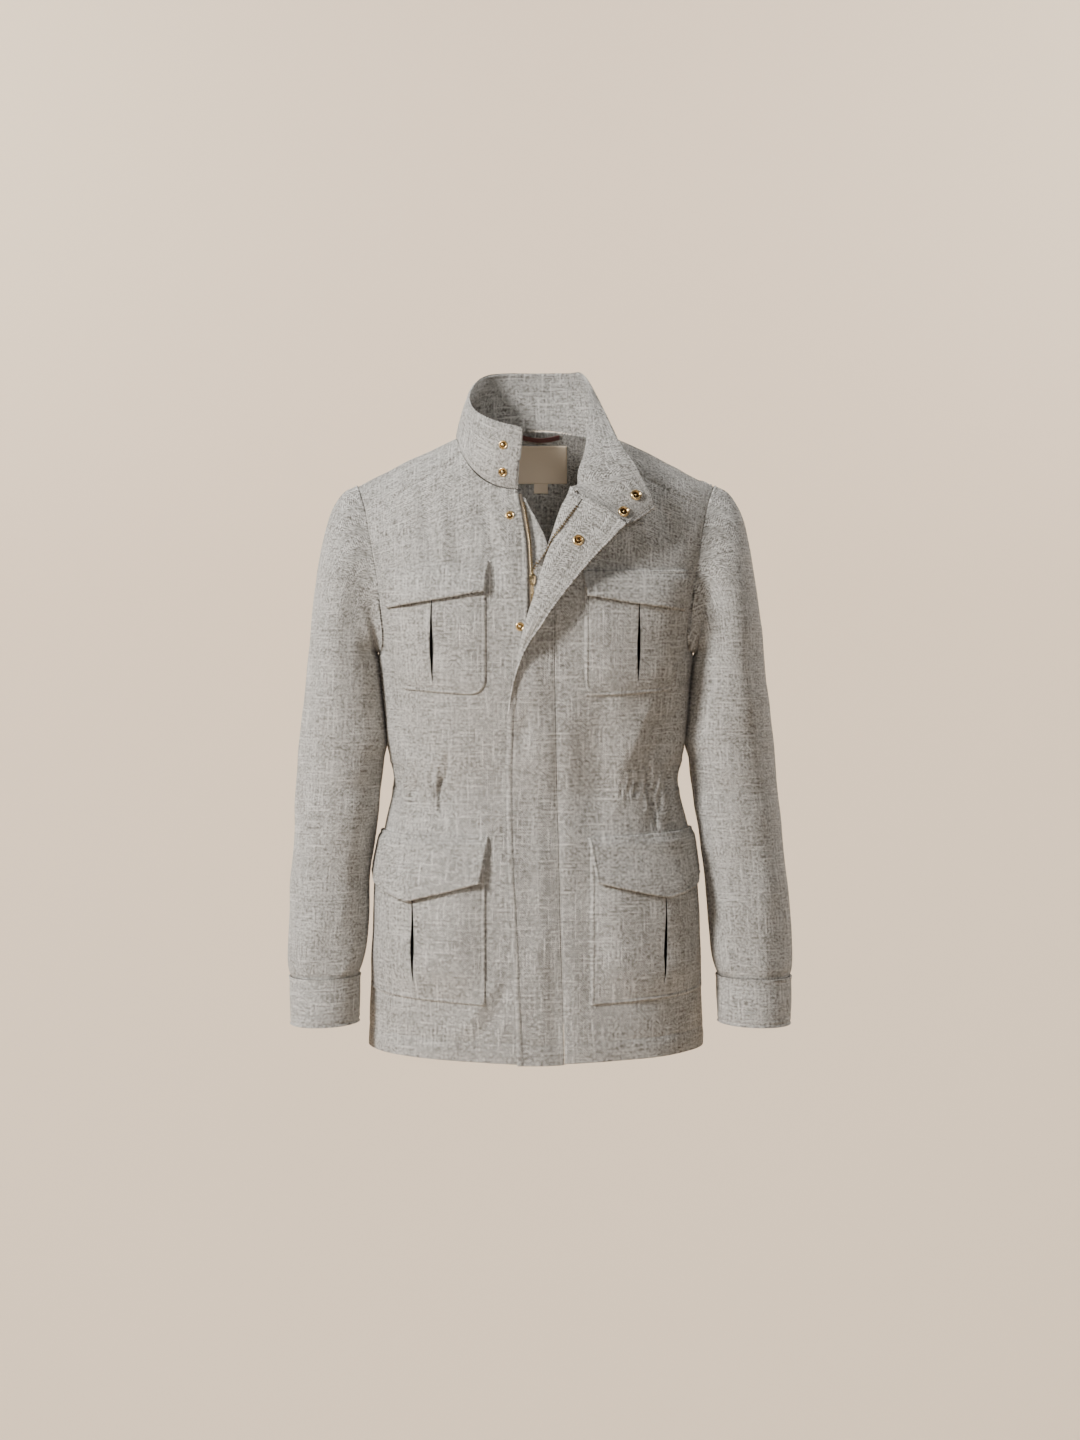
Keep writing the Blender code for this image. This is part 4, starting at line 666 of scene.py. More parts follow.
def crossing(values, level, wall, along_rows):
    """Where each row or column of a wall first passes a level: number, place, point and normal."""
    points, normals = wall.face, wall.normals()
    if not along_rows:
        values, points, normals = values.T, points.swapaxes(0, 1), normals.swapaxes(0, 1)
    for line, row in enumerate(values):
        hits = np.nonzero((row[:-1] - level) * (row[1:] - level) <= 0)[0]
        if len(hits):
            k = hits[0]
            share = (level - row[k]) / (row[k + 1] - row[k] or 1)
            yield line, k, mix(points[line, k], points[line, k + 1], share), normals[line, k]


class Stitches:
    """Threads of one piece's seams, gathered and then made as one mesh."""

    def __init__(self):
        self.lines = []

    def edge(self, wall, seam):
        along_rows = seam.edge in ("left", "right")
        way, run = wall.from_edge(seam.edge), wall.from_edge("low" if along_rows else "left")
        on = np.ones(run.shape) if seam.mask is None else seam.mask
        if not along_rows:
            run, on = run.T, on.T
        low, high = seam.ends[0], run.max(axis=0) - seam.ends[1]
        self.lines.append([(point, normal) for line, k, point, normal
                           in crossing(way, seam.offset, wall, along_rows)
                           if low <= run[line, k] <= high[k] and on[line, k] > 0.5])

    def level(self, wall, height, beyond=0):
        """A line at a height, only where the cloth is `beyond` or more from the centre line."""
        self.lines.append([(point, normal) for _, _, point, normal
                           in crossing(wall.face[..., 2], height, wall, False)
                           if abs(point[0]) >= beyond])

    def build(self, name):
        """Each stitch is a short rounded thread that lies half in its groove."""
        half = (STITCH_PITCH - STITCH_GAP) / 2
        points, faces = [], []
        for line in self.lines:
            if len(line) < 2:
                continue
            at, up = (np.array(part) for part in zip(*line))
            length = run_along(at)
            for middle in (np.arange(int(length[-1] / STITCH_PITCH)) + 0.5) * STITCH_PITCH:
                ends = [at_length(middle + end, length, at) for end in (-half, half)]
                normal = at_length(middle, length, up)
                normal /= np.linalg.norm(normal)
                run = ends[1] - ends[0]
                centre = (ends[0] + ends[1]) / 2 + normal * THREAD * 0.2
                side = np.cross(normal, run / max(np.linalg.norm(run), 1e-9))
                base = len(points)
                points.append(centre - run / 2)
                for way, share in ((-0.36, 0.8), (0.0, 1.0), (0.36, 0.8)):
                    for turn in range(3):
                        angle = math.pi / 2 + turn * 2 * math.pi / 3
                        points.append(centre + run * way + share * THREAD / 2 * 1.15
                                      * (side * math.cos(angle) + normal * math.sin(angle)))
                points.append(centre + run / 2)
                for turn in range(3):
                    after = (turn + 1) % 3
                    faces.append((base, base + 1 + after, base + 1 + turn))
                    for ring in (1, 4):
                        faces.append((base + ring + turn, base + ring + after,
                                      base + ring + 3 + after, base + ring + 3 + turn))
                    faces.append((base + 7 + turn, base + 7 + after, base + 10))
        to_scene(new_mesh(name, points, faces, finish("thread")))


def at_length(place, length, values):
    return np.array([np.interp(place, length, values[:, k]) for k in range(3)])


def sew(wall, seams, unsewn=(), depth=1.0):
    """Turns down a wall's edges and returns the stitches of its seams."""
    wall.move(seam_relief(wall, [*seams, *unsewn]) * depth)
    stitches = Stitches()
    for seam in seams:
        stitches.edge(wall, seam)
    return stitches


def make_up(wall, node, thickness, held, rests_on, stitches=None, lining=None):
    """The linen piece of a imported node, and its stitches."""
    wall.build("linen_" + node, node, thickness, "linen", "linen_cloth", held, rests_on, lining)
    if stitches:
        stitches.build("stitching_" + node)


def coons(bottom, top, left, right, down, across):
    """Grid inside four edges at given shares; left and right run up from the bottom."""
    s, t = np.asarray(across)[None, :, None], np.asarray(down)[:, None, None]
    corners = ((1 - s) * (1 - t) * bottom[0] + s * (1 - t) * bottom[-1]
               + (1 - s) * t * top[0] + s * t * top[-1])
    return ((1 - t) * bottom[None] + t * top[None] + (1 - s) * left[:, None] + s * right[:, None]
            - corners)


def to_chart(points, back=False):
    height = ring_height(points[..., 0], points[..., 1])
    return np.stack((girth_of(points[..., 0], height, back), height), axis=-1)


def path_share(path, z):
    shares = np.linspace(0, 1, 2001)
    return float(np.interp(-z, -along_path(path, shares)[:, 1], shares))


YOKE_SHARE_FRONT = path_share(ARMHOLE_FRONT, YOKE_SEAM_FRONT[-1][1])
YOKE_SHARE_BACK = path_share(ARMHOLE_BACK, YOKE_SEAM_BACK_Z)


def neck_z(x):
    return np.interp(-np.asarray(x), [-p[0] for p in NECK_FRONT], [p[1] for p in NECK_FRONT])


def front_neck(side):
    """The neck seam of one front, from the yoke seam to the front's end."""
    end_x = NECK_ENDS[side]
    return [p for p in NECK_FRONT if p[0] > end_x] + [(end_x, float(neck_z(end_x)))]


def armhole_edge(back, shares):
    """The armhole edge of a front or back panel in its chart, moved off the seam line."""
    found = to_chart(along_path(ARMHOLE_BACK if back else ARMHOLE_FRONT, shares), back)
    found[0, 0] = side_girth(found[0, 1], back)
    middle = np.array((found[0, 0], ARMHOLE_MIDDLE))
    run = np.gradient(found, axis=0)
    run[0] = (1.0, 0.0)
    away = np.stack((-run[:, 1], run[:, 0]), axis=1)
    away /= np.linalg.norm(away, axis=1)[:, None]
    away *= np.where(np.sum(away * (found - middle), axis=1) < 0, -1, 1)[:, None]
    return found + away * ARMHOLE_GAP


def side_and_armhole(back, step):
    """A panel's outer edge from the hem to the yoke seam, and which rows lie on the armhole."""
    low = ARMHOLE_BOTTOM - HEM_SIDE
    shares = places(low, step, HEM_DEEP, None)
    if not back:
        shares = closer(shares, low, *(row - HEM_SIDE for row in WAIST_REACH), WAIST_STEP)
    heights = mix(HEM_SIDE, ARMHOLE_BOTTOM, shares)
    side = np.stack((side_girth(heights, back) - SEAM / 2, heights), axis=1)
    last = YOKE_SHARE_BACK if back else YOKE_SHARE_FRONT
    arm = armhole_edge(back, mix(1.0, last, places(ARMHOLE_LONG, step, None, EDGE_STITCH)))
    side[-1, 1] = arm[0, 1]
    outer = np.concatenate((side, arm[1:]))
    return outer, np.arange(len(outer)) >= len(side)


def shares_along(points):
    length = run_along(points)
    return length / length[-1]


def front_chart(side, edge, edge_sewn, step):
    """Chart grid of a front: rows from the hem to the neck, columns from its edge to the side."""
    outer, on_arm = side_and_armhole(False, step)
    down = shares_along(outer)
    across = places(PANEL_WIDE, step, edge_sewn, WIDE_STITCH)
    for reach in FOLD_COLUMNS:
        across = closer(across, PANEL_WIDE, *reach)
    on_neck = along_path(front_neck(side)[::-1], np.minimum(across / NECK_SHARE, 1))
    on_seam = along_path(YOKE_SEAM_FRONT, np.clip((across - NECK_SHARE) / (1 - NECK_SHARE), 0, 1))
    top = np.where((across <= NECK_SHARE)[:, None], on_neck, on_seam) - np.array((0, SEAM / 2))
    top = to_chart(top)
    outer[-1, 1] -= SEAM / 2
    top[-1] = outer[-1]
    heights = mix(HEM_SIDE - HEM_CENTRE_DROP, top[0, 1], down)
    x = edge_x(edge, world_z(NECK_ENDS[side], heights))
    centre = np.stack((girth_of(x, heights, False), heights), axis=1)
    centre[-1] = top[0]
    girth = mix(centre[0, 0], outer[0, 0], across)
    bottom_z = HEM_SIDE - HEM_CENTRE_DROP * (1 - np.minimum(np.abs(girth) / outer[0, 0], 1)) ** 2
    bottom = np.stack((girth, bottom_z), axis=1)
    bottom[0], bottom[-1] = centre[0], outer[0]
    return coons(bottom, top, centre, outer, down, across), on_arm


def back_chart(step):
    outer, on_arm = side_and_armhole(True, step)
    down, across = shares_along(outer), places(PANEL_WIDE, step, None, WIDE_STITCH)
    corner_x = along_path(ARMHOLE_BACK, YOKE_SHARE_BACK)[0]
    seam_z = float(YOKE_SEAM_BACK_Z + OVERLAP)
    top = to_chart(np.stack((corner_x * across, np.full(len(across), seam_z)), axis=1), True)
    top[0] = (MEET, ring_height(0.0, seam_z))
    top[-1] = (outer[-1, 0], top[-1, 1])
    outer[-1] = top[-1]
    centre = np.stack((np.full(len(down), MEET), mix(HEM_SIDE, top[0, 1], down)), axis=1)
    bottom = np.stack((mix(MEET, outer[0, 0], across), np.full(len(across), HEM_SIDE)), axis=1)
    return coons(bottom, top, centre, outer, down, across), on_arm


def ring_root(points, back):
    """The ridge chart's coordinates of points seen at x and z."""
    root = np.sqrt(-ring_height(points[..., 0], points[..., 1])) * (1 if back else -1)
    return np.stack((points[..., 0], root), axis=-1)


def ridge_point(side, x, across):
    height = -across * across
    front, behind = (on_body(side, back, girth_of(x, height, back), height)
                     for back in (False, True))
    return np.where((across > 0)[..., None], behind, front)


# ---------------------------------------------------------------- finishes

def linear(text):
    """An sRGB hex colour as linear red, green, blue and alpha."""
    parts = [int(text[k:k + 2], 16) / 255 for k in (1, 3, 5)]
    return tuple(p / 12.92 if p <= 0.04045 else ((p + 0.055) / 1.055) ** 2.4 for p in parts) + (1,)


def add(tree, kind, links=None, **settings):
    """Adds one shader node and returns its outputs. links names inputs by name or number."""
    node = tree.nodes.new("ShaderNode" + kind)
    for name, value in settings.items():
        setattr(node, name, value)
    for name, value in (links or {}).items():
        if isinstance(value, bpy.types.NodeSocket):
            tree.links.new(value, node.inputs[name])
        else:
            node.inputs[name].default_value = value
    return node.outputs


def new_material(name, **surface):
    """A Principled material and its tree; surface names shader sockets and their plain values."""
    made = bpy.data.materials.new(name)
    made.use_nodes = True
    shader = made.node_tree.nodes["Principled BSDF"]
    for socket, value in surface.items():
        shader.inputs[socket.replace("_", " ")].default_value = value
    return made, made.node_tree, shader


def weave_mm(tree):
    """The cloth's own lengths in millimetres."""
    place = add(tree, "UVMap", uv_map=WEAVE)[0]
    return add(tree, "VectorMath", {0: place, 1: (1000, 1000, 0)}, operation="MULTIPLY")[0]


def two_tone(tree, shader, pattern, colour, low):
    """Colours a surface from a share `low` of its colour up to the full one, by a pattern."""
    dark = tuple(c * low for c in colour[:3]) + (1,)
    shade = add(tree, "Mix", {0: pattern, 6: dark, 7: colour}, data_type="RGBA")[2]
    tree.links.new(shade, shader.inputs["Base Color"])


def herringbone_linen(name, ground, light):
    """Washed linen, woven as a fine herringbone from slubby yarn: matt, with pale thick threads."""
    made, tree, shader = new_material(name, Roughness=0.88, Sheen_Weight=0.12, Sheen_Roughness=0.6,
                                      Specular_IOR_Level=0.25)
    mm = weave_mm(tree)
    wander = add(tree, "TexNoise", {"Vector": mm, "Scale": 0.2, "Detail": 4.0,
                                    "Roughness": 0.7})["Color"]
    bent = add(tree, "VectorMath", {0: wander, 1: (5.5, 5.5, 0), 2: mm},
               operation="MULTIPLY_ADD")[0]
    split = add(tree, "SeparateXYZ", {0: bent})
    bar = add(tree, "Math", {0: split[0], 1: HERRINGBONE_BAR}, operation="PINGPONG")[0]
    rise = add(tree, "Math", {0: split[1], 1: bar}, operation="ADD")[0]
    phase = add(tree, "Math", {0: rise, 1: 2 * math.pi / TWILL_PITCH}, operation="MULTIPLY")[0]
    twill = add(tree, "Math", {0: phase}, operation="SINE")[0]
    yarns, slubs = [], []
    for stretch in ((0.02, 0.5, 1), (0.5, 0.02, 1)):
        run = add(tree, "VectorMath", {0: mm, 1: stretch}, operation="MULTIPLY")[0]
        yarns.append(add(tree, "TexNoise", {"Vector": run, "Scale": 1.0, "Detail": 2.0,
                                            "Roughness": 0.6})["Fac"])
        slubs.append(add(tree, "MapRange", {"Value": yarns[-1], "From Min": 0.55, "From Max": 0.68},
                         interpolation_type="SMOOTHSTEP")[0])
    slub = add(tree, "Math", {0: slubs[0], 1: slubs[1]}, operation="MAXIMUM")[0]
    grain = add(tree, "TexNoise", {"Vector": mm, "Scale": 0.34, "Detail": 3.0,
                                   "Roughness": 0.75})["Fac"]
    washed = add(tree, "TexNoise", {"Vector": mm, "Scale": 0.11, "Detail": 3.0})["Fac"]
    patch = add(tree, "MapRange", {"Value": washed, "From Min": 0.34, "From Max": 0.68,
                                   "To Min": 0.12, "To Max": 0.85})[0]
    cloud = add(tree, "TexNoise", {"Vector": mm, "Scale": 0.022, "Detail": 3.0})["Fac"]
    both = add(tree, "Math", {0: yarns[0], 1: yarns[1]}, operation="ADD")[0]
    tone = add(tree, "Math", {0: twill, 1: patch, 2: -1.72}, operation="MULTIPLY_ADD")[0]
    tone = add(tree, "Math", {0: grain, 1: 4.4, 2: tone}, operation="MULTIPLY_ADD")[0]
    for part, middle, weight in ((both, 1.0, 0.5), (cloud, 0.5, 0.5), (patch, 0.48, 0.4)):
        part = add(tree, "Math", {0: part, 1: middle}, operation="SUBTRACT")[0]
        tone = add(tree, "Math", {0: part, 1: weight, 2: tone}, operation="MULTIPLY_ADD")[0]
    cloth = add(tree, "Mix", {0: tone, 6: ground, 7: light}, data_type="RGBA")[2]
    pale = add(tree, "Math", {0: slub, 1: 0.5}, operation="MULTIPLY")[0]
    colour = add(tree, "Mix", {0: pale, 6: cloth, 7: tuple(min(c * 1.25, 1) for c in light)},
                 data_type="RGBA")[2]
    height = add(tree, "Math", {0: twill, 1: 0.16, 2: grain}, operation="MULTIPLY_ADD")[0]
    height = add(tree, "Math", {0: slub, 1: 0.3, 2: height}, operation="MULTIPLY_ADD")[0]
    bump = add(tree, "Bump", {"Strength": 1.2, "Distance": 0.0012, "Height": height})[0]
    tree.links.new(colour, shader.inputs["Base Color"])
    tree.links.new(bump, shader.inputs["Normal"])
    return made


def painted_pleat_shade(name, colour):
    """Painted shade: the linen inside a closed pleat, where hardly any light comes, coloured matt
    and nearly black.
    """
    made, tree, shader = new_material(name, Roughness=1.0, Specular_IOR_Level=0.0)
    place = add(tree, "TexCoord")["Object"]
    fuzz = add(tree, "TexNoise", {"Vector": place, "Scale": 900.0})["Fac"]
    two_tone(tree, shader, fuzz, colour, 0.6)
    return made


def sewing_thread(name, colour):
    """Spun polyester thread: two plies twisted, a little brighter than the cloth."""
    made, tree, shader = new_material(name, Roughness=0.6, Sheen_Weight=0.2)
    place = add(tree, "TexCoord")["Object"]
    twist = add(tree, "TexWave", {"Vector": place, "Scale": 900.0, "Distortion": 2.0},
                wave_type="BANDS", bands_direction="DIAGONAL")["Fac"]
    two_tone(tree, shader, twist, colour, 0.75)
    return made


def plated_brass(name, colour):
    """Brass plated zinc, tumbled smooth: warm reflections with the faint haze of handling."""
    made, tree, shader = new_material(name, Metallic=1.0, Roughness=0.24)
    place = add(tree, "TexCoord")["Object"]
    haze = add(tree, "TexNoise", {"Vector": place, "Scale": 420.0, "Detail": 4.0})["Fac"]
    rough = add(tree, "MapRange", {"Value": haze, "To Min": 0.16, "To Max": 0.36})[0]
    tree.links.new(rough, shader.inputs["Roughness"])
    two_tone(tree, shader, haze, colour, 0.82)
    return made


def woven_tape(name, colour, rib_mm, sheen, rough):
    """Narrow woven tape or satin: fine cross ribs, with a slight gloss along the threads."""
    made, tree, shader = new_material(name, Roughness=rough, Sheen_Weight=sheen)
    mm = weave_mm(tree)
    rib = add(tree, "TexWave", {"Vector": mm, "Scale": 1 / rib_mm / WAVE_BANDS, "Distortion": 0.6},
              wave_type="BANDS", bands_direction="Y")["Fac"]
    fibre = add(tree, "TexNoise", {"Vector": mm, "Scale": 1.4, "Detail": 3.0})["Fac"]
    fibre = add(tree, "Math", {0: fibre, 1: 0.7}, operation="MULTIPLY")[0]
    tone = add(tree, "Math", {0: rib, 1: 0.45, 2: fibre}, operation="MULTIPLY_ADD")[0]
    bump = add(tree, "Bump", {"Strength": 0.35, "Distance": 0.0003, "Height": rib})[0]
    tree.links.new(bump, shader.inputs["Normal"])
    two_tone(tree, shader, tone, colour, 0.72)
    return made


def studio_paper(name, colour):
    """Seamless background paper: matt and even, with faint fibre."""
    made, tree, shader = new_material(name, Roughness=0.95, Specular_IOR_Level=0.1)
    place = add(tree, "TexCoord")["Object"]
    fibre = add(tree, "TexNoise", {"Vector": place, "Scale": 6.0, "Detail": 5.0})["Fac"]
    two_tone(tree, shader, fibre, colour, 0.985)
    return made


FINISHES = {}


def finish(kind):
    """Each finish is made once, from the colours of the panel's settings."""
    if kind not in FINISHES:
        look = bpy.context.scene.field_jacket
        maker, name, colours, *rest = {
            "linen": (herringbone_linen, "washed_herringbone_linen", (look.ground, look.light)),
            # painted shade: nearly black linen for the inside of the pocket pleats
            "pleat": (painted_pleat_shade, "linen_inside_pleat", (linear("#0C0B0A"),)),
            "thread": (sewing_thread, "spun_polyester_thread", (look.thread,)),
            "brass": (plated_brass, "plated_brass", (look.brass,)),
            # painted shade: darker brass for the snaps' recesses
            "recess": (plated_brass, "darkened_brass", (linear("#6E5230"),)),
            "zip": (plated_brass, "brushed_zip_brass", (linear("#A8926F"),)),
            "tape": (woven_tape, "woven_zip_tape", (look.tape,), 1.6, 0.1, 0.8),
            "label": (woven_tape, "woven_satin_label", (look.label,), 1.0, 0.3, 0.55),
            "loop": (woven_tape, "woven_loop_tape", (look.loop,), 1.8, 0.2, 0.6),
        }[kind]
        FINISHES[kind] = maker(name, *(tuple(colour) for colour in colours), *rest)
    return FINISHES[kind]


# ---------------------------------------------------------------- pieces

def panel_relief(points, normals, back=False, creases=1.0, gathers=1.0):
    """Creases and unevenness of a body panel, and the gathers at its waist."""
    return (undulation(points) * PANEL_UNEVEN + crease_relief(points, normals) * creases
            + gather_relief(points, back) * gathers)


def body_weave(chart, side, start):
    return weave_of(side * chart[..., 0] + start, chart[..., 1])


def make_fronts(step):
    right_edge = tuple((z, -x) for z, x in RIGHT_EDGE)
    for side, word, edge, sewn in ((-1, "right", right_edge, WIDE_STITCH),
                                   (1, "left", PLACKET_SEAM, EDGE_STITCH)):
        chart, on_arm = front_chart(side, edge, sewn, step)
        share = 1.0
        if side > 0:
            chart[:, 0, 0] += SEAM / 2
            points = rolled_girth(chart[..., 0], chart[..., 1])
            # under the rolled-open top the creases fade out towards the edge
            share = np.where(points[..., 2] > BREAK_Z - 10, smooth((points[..., 0] - 55) / 40), 1.0)
        else:
            points = on_body(side, False, chart[..., 0], chart[..., 1])
        wall = Wall(points, side, body_weave(chart, side, FRONT_WEAVE))
        wall.move(panel_relief(wall.face, wall.normals()) * share)
        arm = np.broadcast_to(on_arm[:, None], points.shape[:2])
        stitches = sew(wall, [Seam("left", sewn), Seam("right", WIDE_STITCH, arm),
                              Seam("low", HEM_DEEP)])
        for height in WAIST_ROWS:
            stitches.level(wall, height, WAIST_STITCHED_FROM)
        make_up(wall, "front_" + word, CLOTH, "hung", ["yoke_" + word], stitches)


def make_placket(step):
    top = float(neck_z(0)) - SEAM
    heights = mix(HEM_SIDE - HEM_CENTRE_DROP, top,
                  places(PLACKET_LONG, step, HEM_DEEP, EDGE_STITCH))[:, None]
    seam_x, edge = edge_x(PLACKET_SEAM, heights) - SEAM / 2, edge_x(LEFT_EDGE, heights)
    across = closer(places(PLACKET_WIDE, 2.2, PLACKET_STITCH, SEAM_STITCH), PLACKET_WIDE,
                    *PLACKET_FINE)
    x, z = np.broadcast_arrays(mix(edge, seam_x, across), heights)
    wall = Wall(rolled(x, z), 1, weave_of(x + FRONT_WEAVE, z))
    lying, turned = smooth((BREAK_Z - 10 - z) / 50), smooth((z - BREAK_Z + 30) / 40)
    relief = (undulation(wall.face) * 0.7 + crease_relief(wall.face, wall.normals())) * lying
    wall.move(relief + turned * 0.45 * np.sin(0.055 * z + 0.09 * x) * smooth((x - edge) / 10))
    seams = [Seam("left", PLACKET_STITCH), Seam("right", SEAM_STITCH), Seam("low", HEM_DEEP)]
    wall.move(seam_relief(wall, seams))
    # the light ridge of the turned edge, and a shallower groove at its stitches
    way = wall.from_edge("left")
    ridge = EDGE_RIDGE * way / EDGE_REACH * np.exp(1 - way / EDGE_REACH)
    wall.move((ridge + 0.5 * np.exp(-((way - PLACKET_STITCH) / 1.3) ** 2)) * (0.35 + 0.65 * lying))
    stitches = Stitches()
    for seam in seams:
        stitches.edge(wall, seam)
    # the rolled-open part shows its other side, so its stitches lie there too
    under = Wall(wall.face - wall.normals() * TWO_PLY, -1, wall.weave)
    stitches.edge(under, Seam("left", PLACKET_STITCH, turned))
    make_up(wall, "placket", TWO_PLY, "folded", ["front_left"], stitches)


def make_backs(step):
    chart, on_arm = back_chart(step)
    for side, word in SIDES:
        points = on_body(side, True, chart[..., 0], chart[..., 1])
        wall = Wall(points, -side, body_weave(chart, side, BACK_WEAVE))
        wall.move(panel_relief(wall.face, wall.normals(), True))
        arm = np.broadcast_to(on_arm[:, None], points.shape[:2])
        stitches = sew(wall, [Seam("left", SEAM_STITCH), Seam("right", WIDE_STITCH, arm),
                              Seam("low", HEM_DEEP)], [Seam("high", EDGE_STITCH)])
        for height in WAIST_ROWS:
            stitches.level(wall, height)
        make_up(wall, "back_" + word, CLOTH, "hung", ["yoke_" + word], stitches)


def yoke_chart(step):
    """Rows from the neck edge to the armhole and back seam, columns from the front to the back."""
    before, behind = places(35, step, EDGE_STITCH, None), places(60, step)
    front = ring_root(along_path(ARMHOLE_FRONT, mix(YOKE_SHARE_FRONT, 0, before)), False)
    back = ring_root(along_path(ARMHOLE_BACK, mix(0, YOKE_SHARE_BACK, behind))[1:], True)
    outer = np.concatenate((front, back))
    outer[:, 0] -= SEAM / 2
    shares = places(200, step, EDGE_STITCH, None)[::-1][1:]
    seam_z = np.full(len(shares), YOKE_SEAM_BACK_Z + SEAM / 2)
    seam = ring_root(np.stack((outer[-1, 0] * shares, seam_z), axis=1), True)
    outer = np.concatenate((outer, seam))
    neck = np.concatenate((ring_root(np.array(YOKE_SEAM_FRONT[:1], float), False),
                           [(x, math.sqrt(-h)) for x, h in NECK_BACK]))
    corners = (0, len(front) - 1, len(front) + len(back) - 1, len(outer) - 1)
    share_at = np.interp(np.arange(len(outer)), corners, (0, YOKE_RIDGE, YOKE_ARM, 1))
    inner = along_path(neck, share_at)
    outer[-1, 0] = inner[-1, 0] = MEET
    inner[0] = ring_root(np.array(YOKE_SEAM_FRONT[0], float) + (0, SEAM / 2), False)
    across = places(130, step, None, WIDE_STITCH)
    grid = mix(inner[None], outer[None], across[:, None, None])
    seam_line = along_path(YOKE_SEAM_FRONT, across) + np.array((0, SEAM / 2))
    bow = ring_root(seam_line, False) - grid[:, 0]
    bow[-1] = 0
    fade = np.maximum(1 - share_at * YOKE_BOW, 0)
    return grid + bow[:, None] * fade[None, :, None], share_at


def make_yokes(step):
    chart, share_at = yoke_chart(step)
    for side, word in SIDES:
        points = ridge_point(side, chart[..., 0], chart[..., 1])
        wall = Wall(points, -side, weave_of(side * chart[..., 0] + BACK_WEAVE,
                                            over_shoulder(chart[..., 1])))
        wall.face_along(points - np.array((0, 0, -200)))
        wall.move(panel_relief(wall.face, wall.normals(), creases=0.6, gathers=0))
        on_arm = np.broadcast_to(share_at <= YOKE_ARM, points.shape[:2])
        stitches = sew(wall, [Seam("left", EDGE_STITCH), Seam("high", WIDE_STITCH, on_arm),
                              Seam("high", EDGE_STITCH, ~on_arm)])
        make_up(wall, "yoke_" + word, CLOTH, "draped", [], stitches)


def over_shoulder(across):
    """Length of cloth over the shoulder's ridge, by the yoke chart's second coordinate."""
    at = np.linspace(-6, 12, 200)
    return np.interp(across, at, run_along(ridge_point(1, np.full(len(at), 110.0), at)))


def sleeve_rings(side, rows, angles):
    """Rings of a sleeve, the angle running from the outside through the front."""
    outer_x, outer_z, inner_x, inner_z, middle_y, half_depth = np.moveaxis(rows, -1, 0)
    hang = smooth((SWING_FROM - (outer_z + inner_z) / 2) / (SWING_FROM - SWING_TO)) * (side > 0)
    outer = np.stack((side * (outer_x + SWING_OUT * hang), middle_y, outer_z), axis=-1)
    inner = np.stack((side * (inner_x + SWING_IN * hang), middle_y, inner_z), axis=-1)
    centre, arm = ((outer + inner) / 2)[:, None], ((outer - inner) / 2)[:, None]
    angles = np.asarray(angles)
    deep = np.zeros((len(rows), len(angles), 3))
    deep[..., 1] = half_depth[:, None] * np.sin(angles)
    return centre + arm * np.cos(angles)[None, :, None] - deep


def armhole_ring(side, count):
    """Points and normals of the armhole on the form, and each one's angle round the sleeve."""
    shares = np.linspace(0, 1, count + 1)
    points, normals, angles = [], [], []
    for back, way in ((False, shares[:-1]), (True, shares[:0:-1])):
        chart = to_chart(along_path(ARMHOLE_BACK if back else ARMHOLE_FRONT, way), back)
        chart[:, 1] = np.minimum(chart[:, 1], -0.01)
        chart[way >= 1, 0] = side_girth(chart[way >= 1, 1], back)

        def form(g, h, b=back):
            return on_body(side, b, g, np.minimum(h, -0.001))
        place = form(chart[:, 0], chart[:, 1])
        normal = normal_of(form, chart[:, 0], chart[:, 1], 1, 0.2)
        facing = np.sum(normal * (place * (1, 1, 0) + (0, 0, 40)), axis=1)
        normals.append(normal * np.where(facing < 0, -1, 1)[:, None])
        points.append(place)
        angles.append(math.pi * way if not back else 2 * math.pi - math.pi * way)
    return np.concatenate(points), np.concatenate(normals), np.concatenate(angles)


# Finer creases of a sleeve: fraction down, turn round, reach of each, slant and depth
SLEEVE_CREASES = (
    (0.10, 0.21, 0.10, 0.035, 0.10, -1.8), (0.12, 0.29, 0.10, 0.030, 0.15, 1.5),
    (0.20, 0.40, 0.12, 0.030, 0.30, -2.2), (0.27, 0.45, 0.10, 0.030, 0.25, 1.6),
    (0.33, 0.28, 0.16, 0.028, 0.05, 1.5), (0.40, 0.18, 0.14, 0.030, -0.04, -1.3),
    (0.46, 0.36, 0.022, 0.12, -0.5, 1.8), (0.51, 0.40, 0.020, 0.10, 0.2, -2.0),
    (0.59, 0.30, 0.018, 0.11, -0.3, 1.5), (0.63, 0.40, 0.020, 0.10, 0.3, -1.8),
    (0.72, 0.22, 0.10, 0.028, 0.10, 1.5), (0.78, 0.32, 0.09, 0.030, -0.14, -1.7),
    (0.88, 0.28, 0.05, 0.030, 0.30, 1.5), (0.93, 0.20, 0.05, 0.026, -0.10, -1.6),
    (0.95, 0.35, 0.04, 0.024, 0.10, -1.5), (0.93, 0.10, 0.05, 0.026, 0.10, -1.4),
    (0.20, 0.62, 0.10, 0.030, -0.30, -2.0), (0.30, 0.78, 0.16, 0.032, 0.06, 1.5),
    (0.48, 0.60, 0.020, 0.11, 0.4, 1.8), (0.54, 0.66, 0.020, 0.10, -0.3, -1.8),
    (0.75, 0.74, 0.10, 0.030, 0.10, -1.5), (0.92, 0.62, 0.05, 0.028, 0.10, -1.6),
    (0.94, 0.80, 0.05, 0.026, -0.10, -1.5), (0.93, 0.93, 0.05, 0.026, 0.10, 1.4),
)


def sleeve_relief(share, turn, side):
    total = np.zeros(np.broadcast_shapes(share.shape, turn.shape))
    for table, shift in ((SLEEVE_FOLDS, 0.0), (SLEEVE_CREASES, 0.012 * side)):
        for down, at, long, wide, slant, depth in table:
            offset = turn - at - shift - slant * (share - down)
            offset = (offset + 0.5) % 1 - 0.5
            total += depth * np.exp(-(offset / wide) ** 2 - ((share - down) / long) ** 2)
    return total


